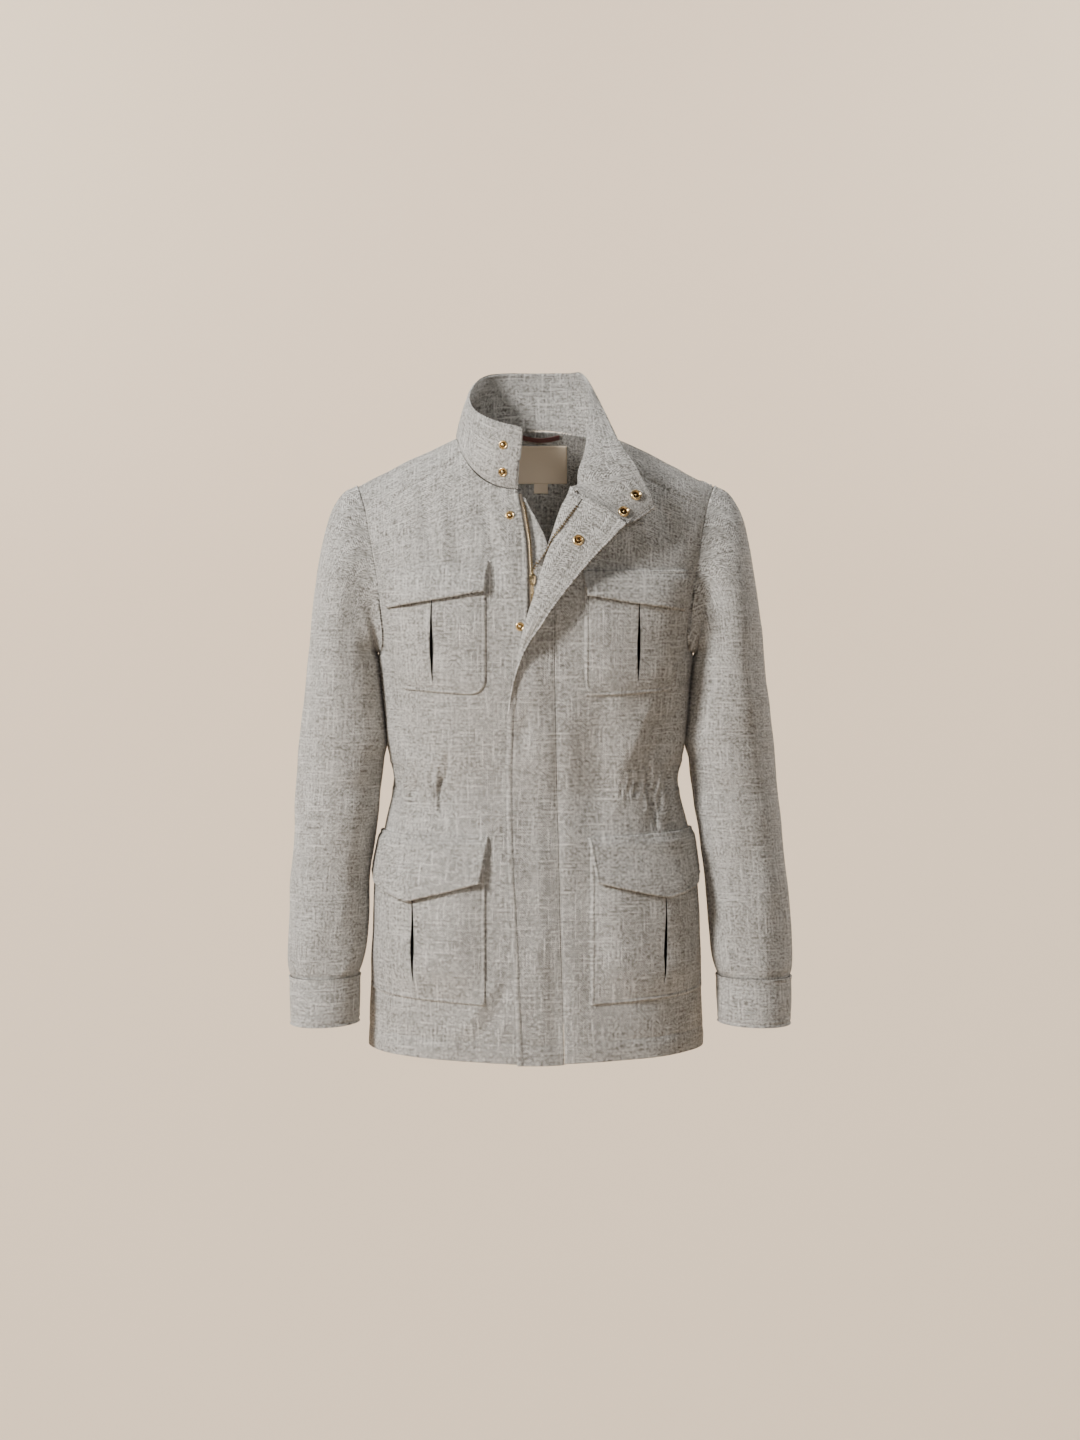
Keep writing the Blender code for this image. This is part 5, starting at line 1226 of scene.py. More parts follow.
def make_sleeves(step):
    for side, word in SIDES:
        make_sleeve(side, word, step)
        make_cuff(side, word, step)


def make_sleeve(side, word, step):
    loop, loop_normals, angles = armhole_ring(side, int(SLEEVE_HALF_ROUND / step))
    place = (len(SLEEVE) - 1) * places(SLEEVE_LONG, step, WIDE_STITCH, EDGE_STITCH)
    rings = sleeve_rings(side, by_row(SLEEVE, place), angles)
    start = sleeve_rings(side, np.array(SLEEVE[:1], float), angles)[0]
    own = np.maximum(1 - place / ARMHOLE_BLEND, 0)[:, None, None] ** 2
    rings = rings + (loop - start)[None] * own
    share, turn = (place / (len(SLEEVE) - 1))[:, None], (angles / (2 * math.pi))[None, :]
    # under the arm the sleeve rests on the body's side
    z = rings[..., 2]
    resting = (np.exp(-((turn - 0.5) / 0.11) ** 2) * smooth((-256 - z) / 20)
               * smooth((398 + z) / 28))
    side_x = table_at(BODY, z)[..., 1] + CLOSE_SIDE + 0.8
    rings[..., 0] -= side * np.maximum(side * rings[..., 0] - side_x, 0) * resting
    run = np.cumsum(np.linalg.norm(np.diff(rings[::-1], axis=0), axis=-1), axis=0)[::-1]
    run = np.vstack((run, np.zeros(run.shape[1])))
    girth = np.linalg.norm(np.diff(rings, axis=1), axis=-1).sum(1).mean()
    weave = weave_of(SLEEVE_WEAVE + side * np.append(turn[0], 1.0) * girth,
                     np.column_stack((run, run[:, 0])))
    wall = Wall(rings, -side, weave, True)
    inner = smooth(share / 0.12) * smooth((1 - share) / 0.03)
    wall.move(sleeve_relief(share, turn, side) * inner * (1 - resting))
    head = np.exp(-(share / 0.05) ** 2) * smooth((np.cos(2 * math.pi * turn) - 0.1) / 0.6)
    gathers = 0.55 * np.sin(2 * math.pi * turn * HEAD_GATHERS + 2 * np.sin(9 * turn)) * head
    uneven = undulation(wall.face) * PANEL_UNEVEN * (1 - resting)
    wall.move(gathers * smooth(share / 0.012)
              + uneven * smooth(share / 0.05) * smooth((1 - share) / 0.02))
    wall.move(seam_relief(wall, [Seam("low", EDGE_STITCH)]) * 0.6)
    # the first ring lies in the armhole's plane, a seam's width inside its line
    away = np.cross(np.roll(loop, -1, axis=0) - np.roll(loop, 1, axis=0), loop_normals)
    away /= np.linalg.norm(away, axis=1)[:, None]
    away *= np.sign(np.sum(away * (loop.mean(axis=0) - loop), axis=1))[:, None]
    wall.face[0] = loop + away * SEAM
    normals = wall.normals()
    normals[0] = loop_normals
    make_up(wall, "sleeve_" + word, CLOTH, "hung", ["yoke_" + word],
            lining=wall.face - normals * CLOTH)


def make_cuff(side, word, step):
    angles = np.linspace(0, 2 * math.pi, int(CUFF_ROUND / step) + 1)
    rows = places(CUFF_LONG, 2.6, EDGE_STITCH, WIDE_STITCH)
    rings = sleeve_rings(side, by_row(CUFF, rows * (len(CUFF) - 1)), angles[:-1])
    round_share = angles / (2 * math.pi)
    wall = Wall(rings, -side, weave_of(CUFF_WEAVE + side * round_share * CUFF_ROUND,
                                       -(rows * CUFF_LONG)[:, None]), True)
    wall.move(undulation(rings) * 0.45)
    stitches = sew(wall, [Seam("low", EDGE_STITCH), Seam("high", WIDE_STITCH)], depth=0.8)
    flat = wall.normals()
    flat[..., 2] = 0
    flat /= np.linalg.norm(flat, axis=-1, keepdims=True)
    make_up(wall, "cuff_" + word, TWO_PLY, "hung", ["sleeve_" + word], stitches,
            wall.face - flat * TWO_PLY)


def neck_line(side):
    """Way along the neck seam and its point, from the centre back to the front end."""
    def chart(a, b):
        return ridge_point(side, a, b)
    inner_x, inner_root = yoke_chart(17.0)[0][0][::-1].T
    at = chart(inner_x, inner_root)
    normal = normal_of(chart, inner_x, inner_root, side, 0.05)
    flats, seams = [at], [at - normal * CLOTH / 2]
    path_x, path_z = along_path(front_neck(side), np.linspace(0, 1, 11))[1:].T
    flats.append(face_point(side * path_x, path_z))
    if side < 0:
        seams.append(flats[-1])
    else:
        seams.append(raised(rolled, path_x, path_z, -CLOTH / 2))
        z = np.full(11, float(neck_z(0)) - SEAM)
        x = np.linspace(edge_x(PLACKET_SEAM, z[0]) - SEAM / 2, edge_x(LEFT_EDGE, z[0]), 12)[1:]
        flats.append(face_point(x, z))
        seams.append(raised(rolled, x, z, -TWO_PLY / 2))
    return np.column_stack((run_along(np.concatenate(flats)), np.concatenate(seams)))


def collar_half(side, step):
    """The middle of one half's wall, from the centre back and from the neck seam."""
    stations = neck_line(side)
    along = stations[-1, 0] * places(stations[-1, 0], step, None, WIDE_STITCH)
    seam = table_at(stations, along)[:, 1:]
    row = table_at(COLLAR_RIGHT if side < 0 else COLLAR_LEFT, along)
    turn = np.array((side, 1, 1))
    middle, top = row[:, 1:4] * turn, row[:, 4:7] * turn
    start = middle - seam
    start = seam + start / np.linalg.norm(start, axis=1)[:, None] * COLLAR_GAP
    pull = 2 * middle - (start + top) / 2
    v = places(COLLAR_HIGH, 2.2, EDGE_STITCH, WIDE_STITCH)[None, :, None]
    return (start[:, None] * (1 - v) ** 2 + pull[:, None] * 2 * v * (1 - v) + top[:, None] * v * v,
            along)


def make_collar(step):
    right, along_r = collar_half(-1, step)
    left, along_l = collar_half(1, step)
    right[0] = (right[0] + left[0]) / 2
    middle = np.concatenate((right[::-1], left[1:]))
    along = np.concatenate((-along_r[::-1], along_l[1:]))[:, None]
    rise_of_rows = np.linalg.norm(np.diff(middle, axis=1), axis=-1).mean(0)
    up = np.concatenate(([0.0], np.cumsum(rise_of_rows)))
    weave = weave_of(COLLAR_WEAVE + along, up)
    sheet = Wall(middle, 1, weave)
    sheet.move(0.5 * np.sin(along * 0.047 + 1) * smooth(up / 25) + undulation(middle) * 0.35)
    half = sheet.normals() * TWO_PLY / 2
    outside, inside = Wall(sheet.face + half, 1, weave), Wall(sheet.face - half, -1, weave)
    seams = [Seam("left", EDGE_STITCH),
             Seam("right", WIDE_STITCH, ends=(WIDE_STITCH, WIDE_STITCH)),
             *(Seam(edge, WIDE_STITCH, ends=(0, WIDE_STITCH)) for edge in ("low", "high"))]
    stitches = sew(outside, seams)
    stitches.lines += sew(inside, seams).lines
    make_up(outside, "collar", TWO_PLY, "folded", ["yoke_left", "yoke_right"], stitches,
            inside.face)


def girth_height(girth, z):
    height = np.array(np.broadcast_arrays(girth, z)[1], float)
    for _ in range(4):
        share = np.minimum(np.abs(girth) / side_girth(height, False), 1) * SHARES
        height = ring_height(between(RINGS[False][0], roots(height), share), z)
    return height


def pocket_bump(spot, across, down):
    edge = smooth(np.minimum(across, 1 - across) / 0.2)
    return spot.bulge * edge * smooth((1 - down) / 0.22) * (0.3 + 0.7 * smooth(down / 0.4))


def pocket_girth(spot, across, z, inset):
    first = spot.inner + inset
    last = np.minimum(spot.inner + spot.width - inset, side_girth(z, False) - SIDE_MARGIN)
    return mix(first, last, across)


def bag_ends(spot, across):
    """Heights of a pocket's mouth and of its bottom line, before its corners are rounded."""
    return (mix(spot.seam_in, spot.seam_out, across) - POCKET_DROP,
            mix(spot.bottom_in, spot.bottom_out, across))


def round_corners(spot, way, up):
    """Draws a grid's lower corners onto their arcs, by distances from the side and the bottom."""
    width = spot.width - 2 * POCKET_INSET
    for mirror in (False, True):
        side = width - way if mirror else way
        u, v = (np.maximum(1 - part / spot.corner, 0) for part in (side, up))
        pull = 1 - np.maximum(u, v) / np.maximum(np.hypot(u, v), 1e-9)
        side, up = side + spot.corner * u * pull, up + spot.corner * v * pull
        way = width - side if mirror else side
    return way, up


def outline_distance(spot, way, up):
    """Distance from a pocket's sides and bottom, round its corners."""
    side = np.minimum(way, spot.width - 2 * POCKET_INSET - way)
    corner = spot.corner
    in_corner = (side < corner) & (up < corner)
    return np.where(in_corner, corner - np.hypot(corner - side, corner - up), np.minimum(side, up))


PLEAT_HALF, PLEAT_LEAST, PLEAT_DEPTH = 2.1, 0.2, 1.85
POCKET_SEWN = 5      # from a pocket's edge to its stitches


def on_panel(spot, girth, z):
    """Points of the panel under a pocket, with the panel's own creases, and its normals."""
    def chart(g, h):
        return on_body(spot.side, False, g, girth_height(g, h))
    points, normals = chart(girth, z), normal_of(chart, girth, z, spot.side)
    return points + normals * panel_relief(points, normals)[..., None], normals


def pocket_face(spot, way, up, relief):
    """Points of a pocket's face at distances from its inner side and bottom, and their normals."""
    across = way / (spot.width - 2 * POCKET_INSET)
    mouth, bottom = bag_ends(spot, across)
    girth = pocket_girth(spot, across, bottom + up, POCKET_INSET)
    points, normals = on_panel(spot, girth, bottom + up)
    bump = pocket_bump(spot, across, 1 - up / (mouth - bottom))
    lift = EASE + POCKET_CLOTH + bump + relief
    weave = weave_of(spot.side * girth + FRONT_WEAVE, bottom + up)
    return points + normals * lift[..., None], normals, weave


def pocket_stitches(spot):
    """The stitched line's distances from the inner side and the bottom, from mouth to mouth."""
    width, turn = spot.width - 2 * POCKET_INSET, max(spot.corner - POCKET_SEWN, 0.01)
    mouth, bottom = bag_ends(spot, 0.5)
    corner = [(POCKET_SEWN + turn * (1 - math.cos(a)), POCKET_SEWN + turn * (1 - math.sin(a)))
              for a in np.linspace(0, math.pi / 2, 12)]
    half = [(POCKET_SEWN, up) for up in np.linspace(mouth - bottom, POCKET_SEWN + turn, 50)]
    half += corner[1:]
    along = [(way, POCKET_SEWN)
             for way in np.linspace(corner[-1][0], width - corner[-1][0], 60)[1:-1]]
    return np.array(half + along + [(width - way, up) for way, up in half[::-1]]).T


def make_pocket(spot, word, step):
    width, slit = spot.width - 2 * POCKET_INSET, spot.slit - POCKET_INSET
    base = places(width, step, POCKET_SEWN, POCKET_SEWN) * width
    base = base[np.abs(base - slit) > 4.5]
    factors = np.array((-1.3, -1, -0.7, 0, 0.7, 1, 1.3))
    bases = np.concatenate((base, [slit - 3.6, slit - 2.4], np.full(7, float(slit)),
                            [slit + 2.4, slit + 3.6]))
    factor = np.concatenate((np.zeros(len(base) + 2), factors, np.zeros(2)))
    order = np.argsort(bases + factor * 0.1, kind="stable")
    bases, factor = bases[order], factor[order]
    downs = places(spot.seam_in - POCKET_DROP - spot.bottom_in, step, None, POCKET_SEWN)[:, None]
    mouth, bottom = bag_ends(spot, bases / width)
    up = (mouth - bottom)[None] * (1 - downs)
    down_slit = (spot.slit_top - bottom - up) / (spot.slit_top - spot.slit_bottom)
    lens = (0.28 + 0.72 * smooth(down_slit / 0.6)) * np.clip((1 - down_slit) / 0.35, 0, 1) ** 0.8
    lens = np.maximum(lens * PLEAT_HALF, PLEAT_LEAST)
    way, up = round_corners(spot, bases[None] + factor[None] * lens, up)
    relief = sewn_edge(outline_distance(spot, way, up), POCKET_SEWN)
    points, normals, weave = pocket_face(spot, way, up, relief)
    wall = Wall(points, spot.side, weave)
    wall.face_along(normals)
    stitches = Stitches()
    line_way, line_up = pocket_stitches(spot)
    at, upward, _ = pocket_face(spot, line_way, line_up, -STITCH_DIP)
    stitches.lines.append(list(zip(at, upward)))
    lining = wall.face - normals * POCKET_CLOTH
    inside = np.interp(np.abs(factor), (0, 0.7, 1, 1.3), (1.0, 0.85, 0.12, 0))
    inside = np.where(bases == slit, inside, 0.0)[None]
    sunk = PLEAT_DEPTH * inside * smooth((lens - PLEAT_LEAST) / 0.35)
    wall.face = wall.face - normals * sunk[..., None]
    # the faces deep in the slit are marked for the nearly black pleat linen: painted shade
    dark = (bases[:-1] == slit) & (bases[1:] == slit) & (np.abs(factor[:-1] + factor[1:]) < 1.8)
    wall.marks = (dark[None] & (lens[:-1, :-1] > PLEAT_LEAST)).astype(int)
    make_up(wall, f"{spot.name}_pocket_{word}", POCKET_CLOTH, "laid", ["front_" + word], stitches,
            lining)


def make_flap(spot, word, step):
    across = places(spot.width, step, POCKET_SEWN, POCKET_SEWN)[None, :]
    hinge = POCKET_DROP - HINGE_LIFT
    depth = np.where(across < 0.5, mix(spot.flap_in, spot.flap_point, across * 2),
                     mix(spot.flap_point, spot.flap_out, across * 2 - 1))
    # downs runs from 0 at the seam to 1 at the hinge and 2 at the flap's lower edge
    above = places(hinge, 2.0, POCKET_SEWN, None)
    below = places(float(depth.mean()) - hinge, 2.4, None, POCKET_SEWN)[1:]
    downs = np.concatenate((above, 1 + below))[:, None]
    way = np.where(downs <= 1, hinge * downs, mix(hinge, depth, downs - 1))
    z = mix(spot.seam_in, spot.seam_out, across) - way
    girth = pocket_girth(spot, across, z, 0) + spot.slant * (1 - across) ** 2 * way / depth
    points, normals = on_panel(spot, girth, z)
    outer = smooth((1 - across) / 0.3)
    on_bag = EASE + POCKET_CLOTH + EASE
    bag_wide = spot.width - 2 * POCKET_INSET
    bag_across = np.clip((girth - spot.inner - POCKET_INSET) / bag_wide, 0, 1)
    mouth, bottom = bag_ends(spot, bag_across)
    bump = pocket_bump(spot, bag_across, np.clip((mouth - z) / (mouth - bottom), 0, 1))
    stand = FLAP_STAND * outer + 0.6
    lower = np.maximum(bump, 0.5 * spot.bulge * outer) + stand * (downs - 1)
    upper = mix(EASE, on_bag + 0.3 * spot.bulge * outer, smooth(downs))
    lift = TWO_PLY + np.where(downs <= 1, upper, on_bag + lower)
    # a soft bend instead of a corner at the hinge
    bent = mix(
        TWO_PLY + mix(EASE, on_bag + 0.3 * spot.bulge * outer, np.minimum(downs, 1)),
        TWO_PLY + on_bag + np.maximum(bump, 0.3 * spot.bulge * outer)
        + stand * np.maximum(downs - 1, 0), smooth((downs - 0.6) / 0.8))
    lift = np.where((downs > 0.6) & (downs < 1.4), bent, lift)
    wall = Wall(points + normals * lift[..., None], spot.side,
                weave_of(spot.side * girth + FRONT_WEAVE, z))
    wall.face_along(normals)
    wall.move(0.35 * np.sin(girth * 0.09 + z * 0.03) * smooth((downs - 0.8) / 0.8))
    ends = (POCKET_SEWN, POCKET_SEWN)
    stitches = sew(wall, [Seam("left", POCKET_SEWN, None, ends),
                          Seam("right", POCKET_SEWN, None, ends), Seam("low", POCKET_SEWN),
                          Seam("high", POCKET_SEWN, None, ends)])
    make_up(wall, f"{spot.name}_flap_{word}", TWO_PLY, "hung", ["front_" + word], stitches)


def make_pockets(step):
    for spot in POCKETS:
        word = "right" if spot.side < 0 else "left"
        make_pocket(spot, word, step)
        make_flap(spot, word, step)


# ---------------------------------------------------------------- zip, snaps and trim

def strip(name, node, chart, x, z, face, thickness, cloth, slot, relief=None):
    x, z = np.broadcast_arrays(x, z)
    wall = Wall(raised(chart, x, z, face), 1, weave_of(x, z))
    if relief is not None:
        wall.move(relief)
    wall.build(name, node, thickness, cloth, slot, "hung", ["front_right", "front_left"])


def left_tape(x, z):
    """The left tape lies behind its front at the slider and on the roll's inside above it."""
    return mix(raised(face_point, x, z, UNDER), raised(rolled, x, z, -TWO_PLY - TAPE_EASE),
               smooth((z - TAPE_PARTS) / TAPE_OPENS)[..., None])


def right_tape(x, z):
    return raised(face_point, x, z, UNDER)


def make_zip():
    across = TAPE_WIDTH * np.linspace(0, 1, 8)
    z = np.linspace(ZIP_BOTTOM, TAPE_TOP, 200)[:, None]
    strip("woven_tape_right", "zip_tape_right", face_point,
          edge_x(RIGHT_EDGE, z) + TAPE_REACH - TAPE_WIDTH + across, z, UNDER, TAPE, "tape",
          "zip_tape")
    z = np.linspace(ZIP_BOTTOM - GUARD_DROP, GUARD_TOP, 240)[:, None]
    x = mix(edge_x(GUARD_RIGHT, z), edge_x(GUARD_LEFT, z), places(GUARD_WIDE, 3, 3, 3))
    teeth = edge_x(RIGHT_EDGE, z) + TAPE_REACH
    dip = (-4.0 * np.exp(-((x - teeth - 4) / 6) ** 2) * smooth((z + 215) / 30)
           * smooth((-76 - z) / 20))
    strip("linen_zip_guard", "zip_guard", face_point, x, z, UNDER - TAPE - EASE, CLOTH, "linen",
          "linen_cloth", dip)
    z = np.concatenate((np.linspace(ZIP_BOTTOM, SLIDER[1], 160),
                        np.linspace(SLIDER[1], LEFT_TAPE_TOP, 60)[1:]))[:, None]
    opening = smooth((z - TAPE_PARTS) / TAPE_OPENS)
    strip("woven_tape_left", "zip_tape_left", left_tape, mix(*LEFT_TAPE, opening) + across, z, 0,
          TAPE, "linen", "zip_tape")
    make_teeth()
    make_slider()


def joined(name, parts, cloth, replaced=None):
    """One brass mesh from (points, faces) parts in millimetres."""
    faces, base = [], 0
    for points, part_faces in parts:
        faces += [tuple(base + k for k in face) for face in part_faces]
        base += len(points)
    data = new_mesh(name, np.concatenate([points for points, _ in parts]), faces, finish(cloth))
    data.set_sharp_from_angle(angle=math.radians(38))
    return to_scene(data, replaced)


def rod(rings, axes):
    """A closed rod through rings of points, with flat ends; its axes tell which way it faces."""
    count = len(rings[0])
    faces = [tuple(range(count - 1, -1, -1)),
             tuple(range((len(rings) - 1) * count, len(rings) * count))]
    for start in range(0, (len(rings) - 1) * count, count):
        for k in range(count):
            n = (k + 1) % count
            faces.append((start + k, start + n, start + count + n, start + count + k))
    if np.dot(np.cross(axes[0], axes[1]), axes[2]) < 0:
        faces = [face[::-1] for face in faces]
    return np.concatenate(rings), faces


def block(centre, axes, half, bevel):
    """A closed block with cut corners round its long axis: eight-sided, with inset ends."""
    outline = [(1, 1 - bevel), (1 - bevel, 1), (bevel - 1, 1), (-1, 1 - bevel), (-1, bevel - 1),
               (bevel - 1, -1), (1 - bevel, -1), (1, bevel - 1)]
    return rod([[centre + axes[0] * half[0] * end + axes[1] * half[1] * a * size
                 + axes[2] * half[2] * b * size for a, b in outline]
                for end, size in ((-1, 0.72), (-0.7, 1), (0.7, 1), (1, 0.72))], axes)


def make_teeth():
    """Brass teeth clamped on the tapes' edges: meshed below the slider, parted above it."""
    parts = []
    for side in (-1, 1):
        z = np.arange(ZIP_BOTTOM + 4 + (TOOTH_PITCH / 2 if side > 0 else 0), TEETH_TOP, TOOTH_PITCH)
        z = z[np.abs(z - SLIDER[1]) >= SLIDER_HALF[1] + 0.5]
        if side < 0:
            x, chart = edge_x(RIGHT_EDGE, z) + TAPE_REACH, right_tape
        else:
            x, chart = mix(*LEFT_TAPE, smooth((z - TAPE_PARTS) / TAPE_OPENS)), left_tape
        points, normals = chart(x, z), normal_of(chart, x, z, 1)
        along = chart(x, z + 0.5) - chart(x, z - 0.5)
        along /= np.linalg.norm(along, axis=1)[:, None]
        outward = chart(x - side * 0.5, z) - chart(x + side * 0.5, z)
        inward = np.cross(along, normals)
        inward *= np.sign(np.sum(inward * outward, axis=1))[:, None]
        for point, normal, run, reach in zip(points, normals, along, inward):
            parts.append(block(point + reach * 0.2 - normal * TAPE * 0.5, (reach, run, normal),
                               (TOOTH_LONG / 2, TOOTH_PITCH * 0.29, TOOTH_HIGH / 2 + 0.1), 0.35))
    joined("brass_zip_teeth", parts, "zip")


def make_slider():
    """The slider's body: a plate that narrows downwards, and the low bridge on its front."""
    x, z = (np.array(float(value)) for value in SLIDER)
    centre, normal = face_point(x, z), normal_of(face_point, x, z, 1)
    up = face_point(x, z + 1) - face_point(x, z - 1)
    up /= np.linalg.norm(up)
    side = np.cross(up, normal)
    base = UNDER + REST
    plate = []
    for height, size in ((base, 0.9), (base + 0.3, 1.0), (base + 1.1, 1.0), (base + 1.5, 0.93),
                         (base + 1.65, 0.7)):
        ring = []
        for k in range(32):
            angle = 2 * math.pi * k / 32
            v = math.sin(angle)
            half = SLIDER_HALF[0] * (0.86 + 0.14 * v)
            a = half * math.copysign(abs(math.cos(angle)) ** 0.55, math.cos(angle))
            b = SLIDER_HALF[1] * math.copysign(abs(v) ** 0.6, v)
            ring.append(centre + side * a * size + up * b * size + normal * height)
        plate.append(ring)
    bridge = []
    for k in range(13):
        angle = math.pi * k / 12
        way = -5.2 * math.cos(angle)
        lift = base + 1.3 + 1.35 * math.sin(angle) ** 0.6
        bridge.append([centre + side * a + up * way + normal * (lift - drop) for a, drop in (
            (-1.3, 0.5), (-0.7, 0.0), (0.7, 0.0), (1.3, 0.5), (1.1, 1.1), (-1.1, 1.1))])
    joined("brass_zip_slider", [rod(plate, (side, up, normal)), rod(bridge, FORWARD)], "zip",
           "zip_slider")


# Snap profiles as radius and height, from the axis over the top and down to the rim's underside
STUD = ((0, 2.95), (1.0, 2.85), (1.7, 2.5), (2.05, 1.9), (2.0, 1.3), (2.2, 0.6), (2.8, 0.45),
        (3.4, 0.7), (4.0, 1.25), (4.6, 1.4), (5.2, 1.15), (5.55, 0.6), (5.6, 0.2), (5.4, 0), (0, 0))
SOCKET = ((0, 0.9), (0.7, 0.85), (1.1, 0.45), (1.8, 0.35), (3.2, 0.35), (3.7, 0.6), (4.0, 1.2),
          (4.5, 1.9), (5.2, 2.25), (5.9, 2.1), (6.5, 1.6), (6.9, 0.9), (7.0, 0.4), (6.8, 0), (0, 0))
# With the rows of each profile that lie in the recess, which take a darker brass as painted shade
# and painted dark reflections
SNAPS = {"stud": (STUD, (4, 7)), "socket": (SOCKET, (2, 6))}
SNAP_SIDES = 40
FORWARD = ((1, 0, 0), (0, 1, 0), (0, 0, 1))      # axes of a rod that faces outward as it is


def snap_frame(node):
    """Middle of a packed snap's base and its axis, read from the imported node."""
    points = np.array([vertex.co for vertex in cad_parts[node].data.vertices]) / MM
    middle = points.mean(axis=0)
    axis = np.linalg.svd(points - middle, full_matrices=False)[2][2]
    reach = np.linalg.norm((points - middle) - np.outer((points - middle) @ axis, axis), axis=1)
    rim = points[reach > reach.max() * 0.97].mean(axis=0)
    ups = (points - rim) @ axis
    if abs(ups.min()) > abs(ups.max()):
        axis, ups = -axis, -ups
    return rim + axis * ups.min(), axis


def make_snaps():
    for node in sorted(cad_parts):
        kind = node.split("_")[0]
        if kind not in SNAPS:
            continue
        profile, (shade_from, shade_to) = SNAPS[kind]
        centre, axis = snap_frame(node)
        helper = np.array((0.0, 0.0, 1.0)) if abs(axis[2]) < 0.9 else np.array((1.0, 0.0, 0.0))
        across = np.cross(axis, helper)
        across /= np.linalg.norm(across)
        second = np.cross(axis, across)
        points, faces, rings, dark = [], [], [], []
        for radius, height in profile:
            count = SNAP_SIDES if radius else 1
            rings.append(list(range(len(points), len(points) + count)))
            for k in range(count):
                angle = 2 * math.pi * k / SNAP_SIDES
                points.append(centre + axis * height + radius * (across * math.cos(angle)
                                                                 + second * math.sin(angle)))
        for row, (high, low) in enumerate(zip(rings, rings[1:])):
            for k in range(SNAP_SIDES):
                n = (k + 1) % SNAP_SIDES
                dark.append(int(shade_from <= row < shade_to))
                corners = (high[k % len(high)], low[k % len(low)], low[n % len(low)],
                           high[n % len(high)])
                faces.append(tuple(dict.fromkeys(corners)))
        obj = joined("brass_" + node, [(np.array(points), faces)], "brass", node)
        # the recess rows take the darker brass: painted shade
        obj.data.materials.append(finish("recess"))
        obj.data.polygons.foreach_set("material_index", dark)


def make_neck_trim():
    def chart(x, z):
        return face_point(x, z, True)
    s = np.linspace(0, 1, 30)
    for name, node, (left, right, top, bottom), stand, cloth, slot in (
            ("satin_label", "label", LABEL, 0, "label", "woven_label"),
            ("satin_size_tab", "size_tab", SIZE_TAB, 0, "label", "woven_label"),
            ("woven_hanger_loop", "hanger_loop", LOOP, LOOP_STAND, "loop", "loop_tape")):
        x, z = np.broadcast_arrays(mix(left, right, s), np.linspace(bottom, top, 24)[:, None])
        normals = normal_of(chart, x, z, -1)
        out = UNDER - stand * np.sin(math.pi * s)
        if not stand:
            out = out - LABEL_WAVE * np.sin(9 * s + 0.2 * z)
        wall = Wall(chart(x, z) + normals * out[..., None], 1, weave_of(x, z))
        wall.face_along(normals)
        wall.build(name, node, TAPE, cloth, slot, "hung" if stand else "laid",
                   ["yoke_left", "yoke_right"])


# ---------------------------------------------------------------- stage

def area_light(name, place, target, width, height, power, colour=(1, 1, 1)):
    lamp = bpy.data.lights.new(name, "AREA")
    lamp.shape, lamp.size, lamp.size_y, lamp.energy = "RECTANGLE", width, height, power
    lamp.color = colour
    aim(placed(name, lamp), place, target)


def aim(obj, place, target):
    obj.location = place
    obj.rotation_euler = (Vector(target) - obj.location).to_track_quat("-Z", "Y").to_euler()


def make_stage():
    look = bpy.context.scene.field_jacket
    bend = [(SWEEP_TURN + SWEEP_RADIUS * math.sin(a), SWEEP_RADIUS - SWEEP_RADIUS * math.cos(a))
            for a in np.linspace(0, math.pi / 2, 25)[1:]]
    profile = [(SWEEP_FRONT, 0.0), (SWEEP_TURN, 0.0), *bend, (SWEEP_TURN + SWEEP_RADIUS, SWEEP_TOP)]
    points = [(x, y, look.floor_height + z) for x in (-SWEEP_HALF, SWEEP_HALF) for y, z in profile]
    count = len(profile)
    faces = [(k, count + k, count + k + 1, k + 1) for k in range(count - 1)]
    data = new_mesh("paper_sweep", np.array(points) / MM, faces,
                    studio_paper("seamless_paper", tuple(look.paper)))
    placed("paper_sweep", data)

    target = (0.0, 0.0, -0.35)
    area_light("key_softbox", (-2.8, -2.4, 1.4), target, 0.8, 0.8, look.key_power,
               (1.0, 0.99, 0.975))
    area_light("fill_softbox", (0.6, -4.2, 0.7), target, 1.2, 1.2, look.fill_power)
    area_light("top_softbox", (0.0, 0.6, 2.6), target, 2.5, 1.5, look.top_power)
    for side in (-1, 1):
        area_light("backdrop_softbox", (2.6 * side, 1.6, 1.6), (0.6 * side, 4.0, -0.6), 2.0, 1.0,
                   look.backdrop_power)
    world = bpy.data.worlds.new("studio_air")
    world.use_nodes = True
    air = world.node_tree.nodes["Background"].inputs
    air[0].default_value, air[1].default_value = linear("#F2EEE8"), look.air_strength
    bpy.context.scene.world = world

    camera = placed("photo_camera", bpy.data.cameras.new("photo_camera"))
    camera.data.sensor_fit, camera.data.sensor_height, camera.data.lens = "VERTICAL", 36.0, 72.0
    aim(camera, CAMERA_PLACE, CAMERA_TARGET)
    bpy.context.scene.camera = camera


# ---------------------------------------------------------------- add-on

def colour_setting(name, description, default):
    return bpy.props.FloatVectorProperty(name=name, description=description,
                                         default=linear(default), size=4, subtype="COLOR",
                                         min=0, max=1)


def power_setting(name, description, default):
    return bpy.props.FloatProperty(name=name, description=description, default=default,
                                   unit="POWER")


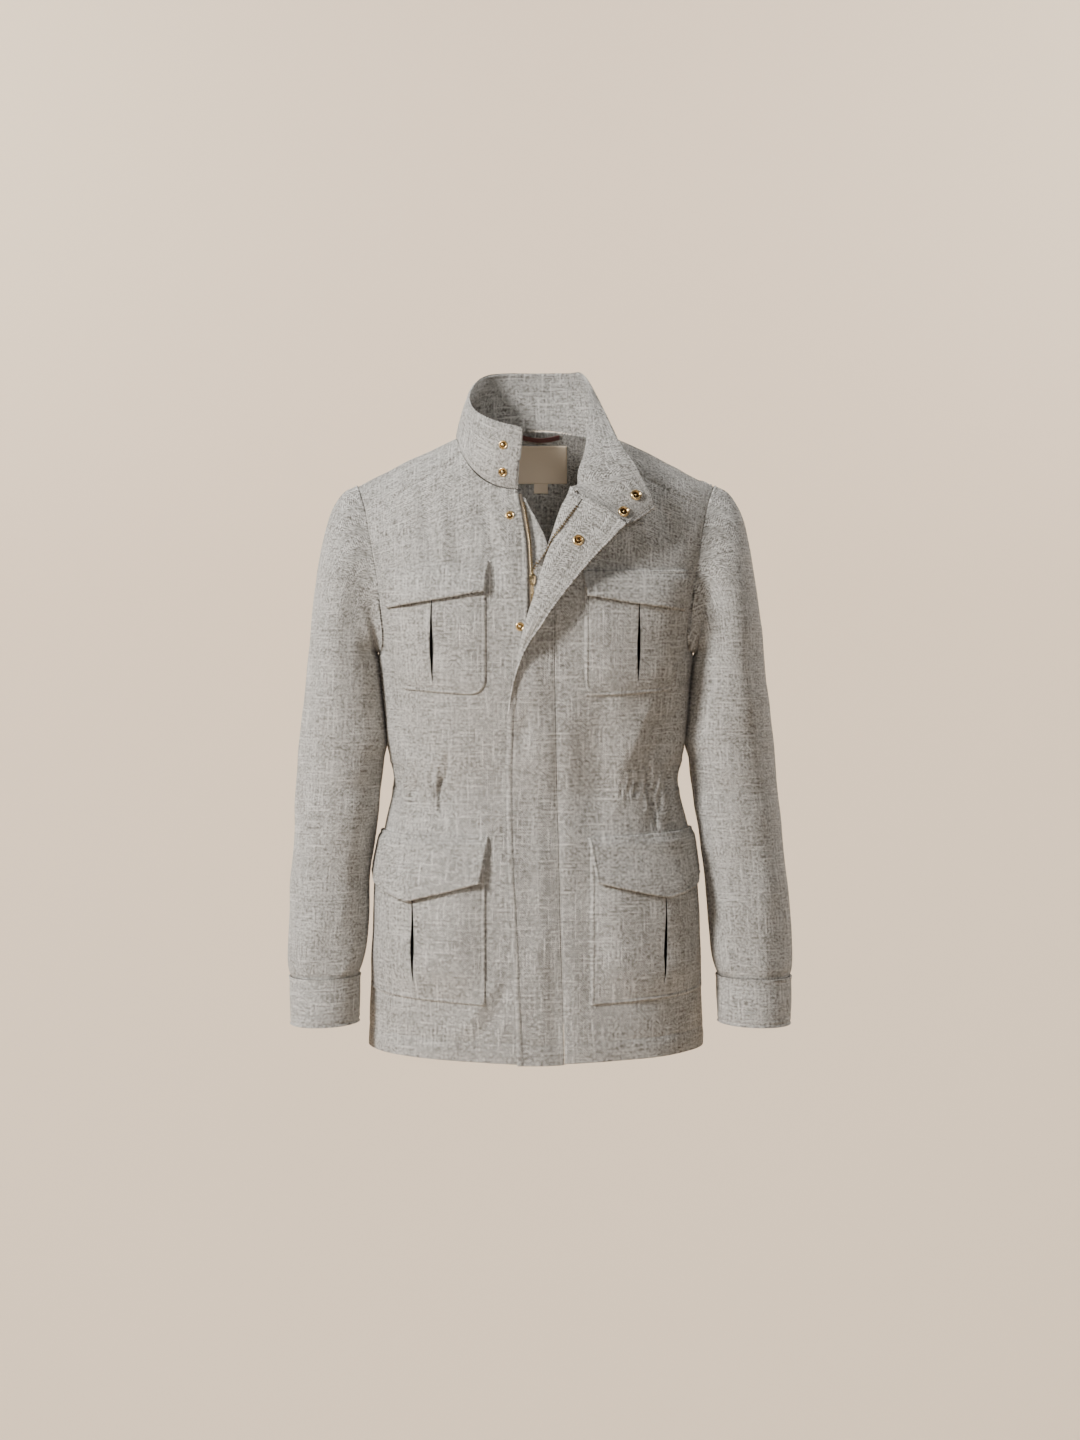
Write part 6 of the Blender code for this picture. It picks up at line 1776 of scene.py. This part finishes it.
class JacketSettings(bpy.types.PropertyGroup):
    """Sizes and colours of the jacket and its studio."""
    step: bpy.props.FloatProperty(
        name="Grid step", description="Distance between the cloth's grid lines, in millimetres",
        default=3.0, min=1.5, max=8.0)
    ground: colour_setting("Linen ground", "Darker yarn of the herringbone linen", "#69645C")
    light: colour_setting("Linen light", "Paler yarn of the herringbone linen", "#DFDBD4")
    thread: colour_setting("Thread", "Topstitching thread", "#BDB7AD")
    brass: colour_setting("Brass", "Plated brass of the snaps and the zip", "#F0D09A")
    # the zip tape is coloured dark to paint the shadow beside the teeth: painted shade
    tape: colour_setting("Zip tape", "Woven tape of the zip", "#6E6254")
    # the label's colour is pushed nearly to white to make up for the shade inside the neck: painted
    # light
    label: colour_setting("Label", "Woven satin of the neck label", "#FFEACD")
    loop: colour_setting("Loop", "Woven tape of the hanger loop", "#6B3A33")
    paper: colour_setting("Paper", "Background paper", "#E2CDB4")
    floor_height: bpy.props.FloatProperty(
        name="Floor", description="Height of the studio floor", default=-2.3, unit="LENGTH")
    key_power: power_setting("Key", "Power of the key softbox", 250.0)
    fill_power: power_setting("Fill", "Power of the fill softbox", 36.0)
    top_power: power_setting("Top", "Power of the top softbox", 10.0)
    backdrop_power: power_setting("Backdrop", "Power of each backdrop softbox", 141.0)
    air_strength: bpy.props.FloatProperty(
        name="Air", description="Strength of the even light from all round", default=0.15)


class JACKET_OT_fronts(bpy.types.Operator):
    """Build both fronts and the covering placket"""
    bl_idname = "jacket.fronts"
    bl_label = "Fronts and placket"

    def execute(self, context):
        step = context.scene.field_jacket.step
        make_fronts(step)
        make_placket(step)
        return {"FINISHED"}


class JACKET_OT_backs(bpy.types.Operator):
    """Build the backs and the yokes"""
    bl_idname = "jacket.backs"
    bl_label = "Backs and yokes"

    def execute(self, context):
        step = context.scene.field_jacket.step
        make_backs(step)
        make_yokes(step)
        return {"FINISHED"}


class JACKET_OT_sleeves(bpy.types.Operator):
    """Build the sleeves and their cuffs"""
    bl_idname = "jacket.sleeves"
    bl_label = "Sleeves and cuffs"

    def execute(self, context):
        make_sleeves(context.scene.field_jacket.step)
        return {"FINISHED"}


class JACKET_OT_collar(bpy.types.Operator):
    """Build the collar, one end standing and the other turned over"""
    bl_idname = "jacket.collar"
    bl_label = "Collar"

    def execute(self, context):
        make_collar(context.scene.field_jacket.step)
        return {"FINISHED"}


class JACKET_OT_pockets(bpy.types.Operator):
    """Build the four patch pockets and their flaps"""
    bl_idname = "jacket.pockets"
    bl_label = "Pockets and flaps"

    def execute(self, context):
        make_pockets(context.scene.field_jacket.step)
        return {"FINISHED"}


class JACKET_OT_zip(bpy.types.Operator):
    """Build the zip's tapes, teeth, slider and guard"""
    bl_idname = "jacket.zip"
    bl_label = "Zip"

    def execute(self, context):
        make_zip()
        return {"FINISHED"}


class JACKET_OT_snaps(bpy.types.Operator):
    """Build the brass snap studs and sockets"""
    bl_idname = "jacket.snaps"
    bl_label = "Snaps"

    def execute(self, context):
        make_snaps()
        return {"FINISHED"}


class JACKET_OT_trim(bpy.types.Operator):
    """Build the neck label, its size tab and the hanger loop"""
    bl_idname = "jacket.trim"
    bl_label = "Label and loop"

    def execute(self, context):
        make_neck_trim()
        return {"FINISHED"}


class JACKET_OT_stage(bpy.types.Operator):
    """Set up the paper sweep, the softboxes and the camera"""
    bl_idname = "jacket.stage"
    bl_label = "Studio"

    def execute(self, context):
        make_stage()
        return {"FINISHED"}


STEPS = (JACKET_OT_stage, JACKET_OT_fronts, JACKET_OT_backs, JACKET_OT_sleeves, JACKET_OT_collar,
         JACKET_OT_pockets, JACKET_OT_zip, JACKET_OT_snaps, JACKET_OT_trim)


class JACKET_PT_panel(bpy.types.Panel):
    """Lists the jacket's settings and the steps that build it"""
    bl_idname = "JACKET_PT_panel"
    bl_label = "Field Jacket"
    bl_space_type = "VIEW_3D"
    bl_region_type = "UI"
    bl_category = "Field Jacket"

    def draw(self, context):
        settings = context.scene.field_jacket
        for name in JacketSettings.__annotations__:
            self.layout.prop(settings, name)
        for step in STEPS:
            self.layout.operator(step.bl_idname)


CLASSES = (JacketSettings, *STEPS, JACKET_PT_panel)


def register():
    for cls in CLASSES:
        bpy.utils.register_class(cls)
    bpy.types.Scene.field_jacket = bpy.props.PointerProperty(type=JacketSettings)


def unregister():
    del bpy.types.Scene.field_jacket
    for cls in reversed(CLASSES):
        bpy.utils.unregister_class(cls)


def main():
    register()
    for step in STEPS:
        group, name = step.bl_idname.split(".")
        getattr(getattr(bpy.ops, group), name)()


if __name__ == "__main__":
    main()
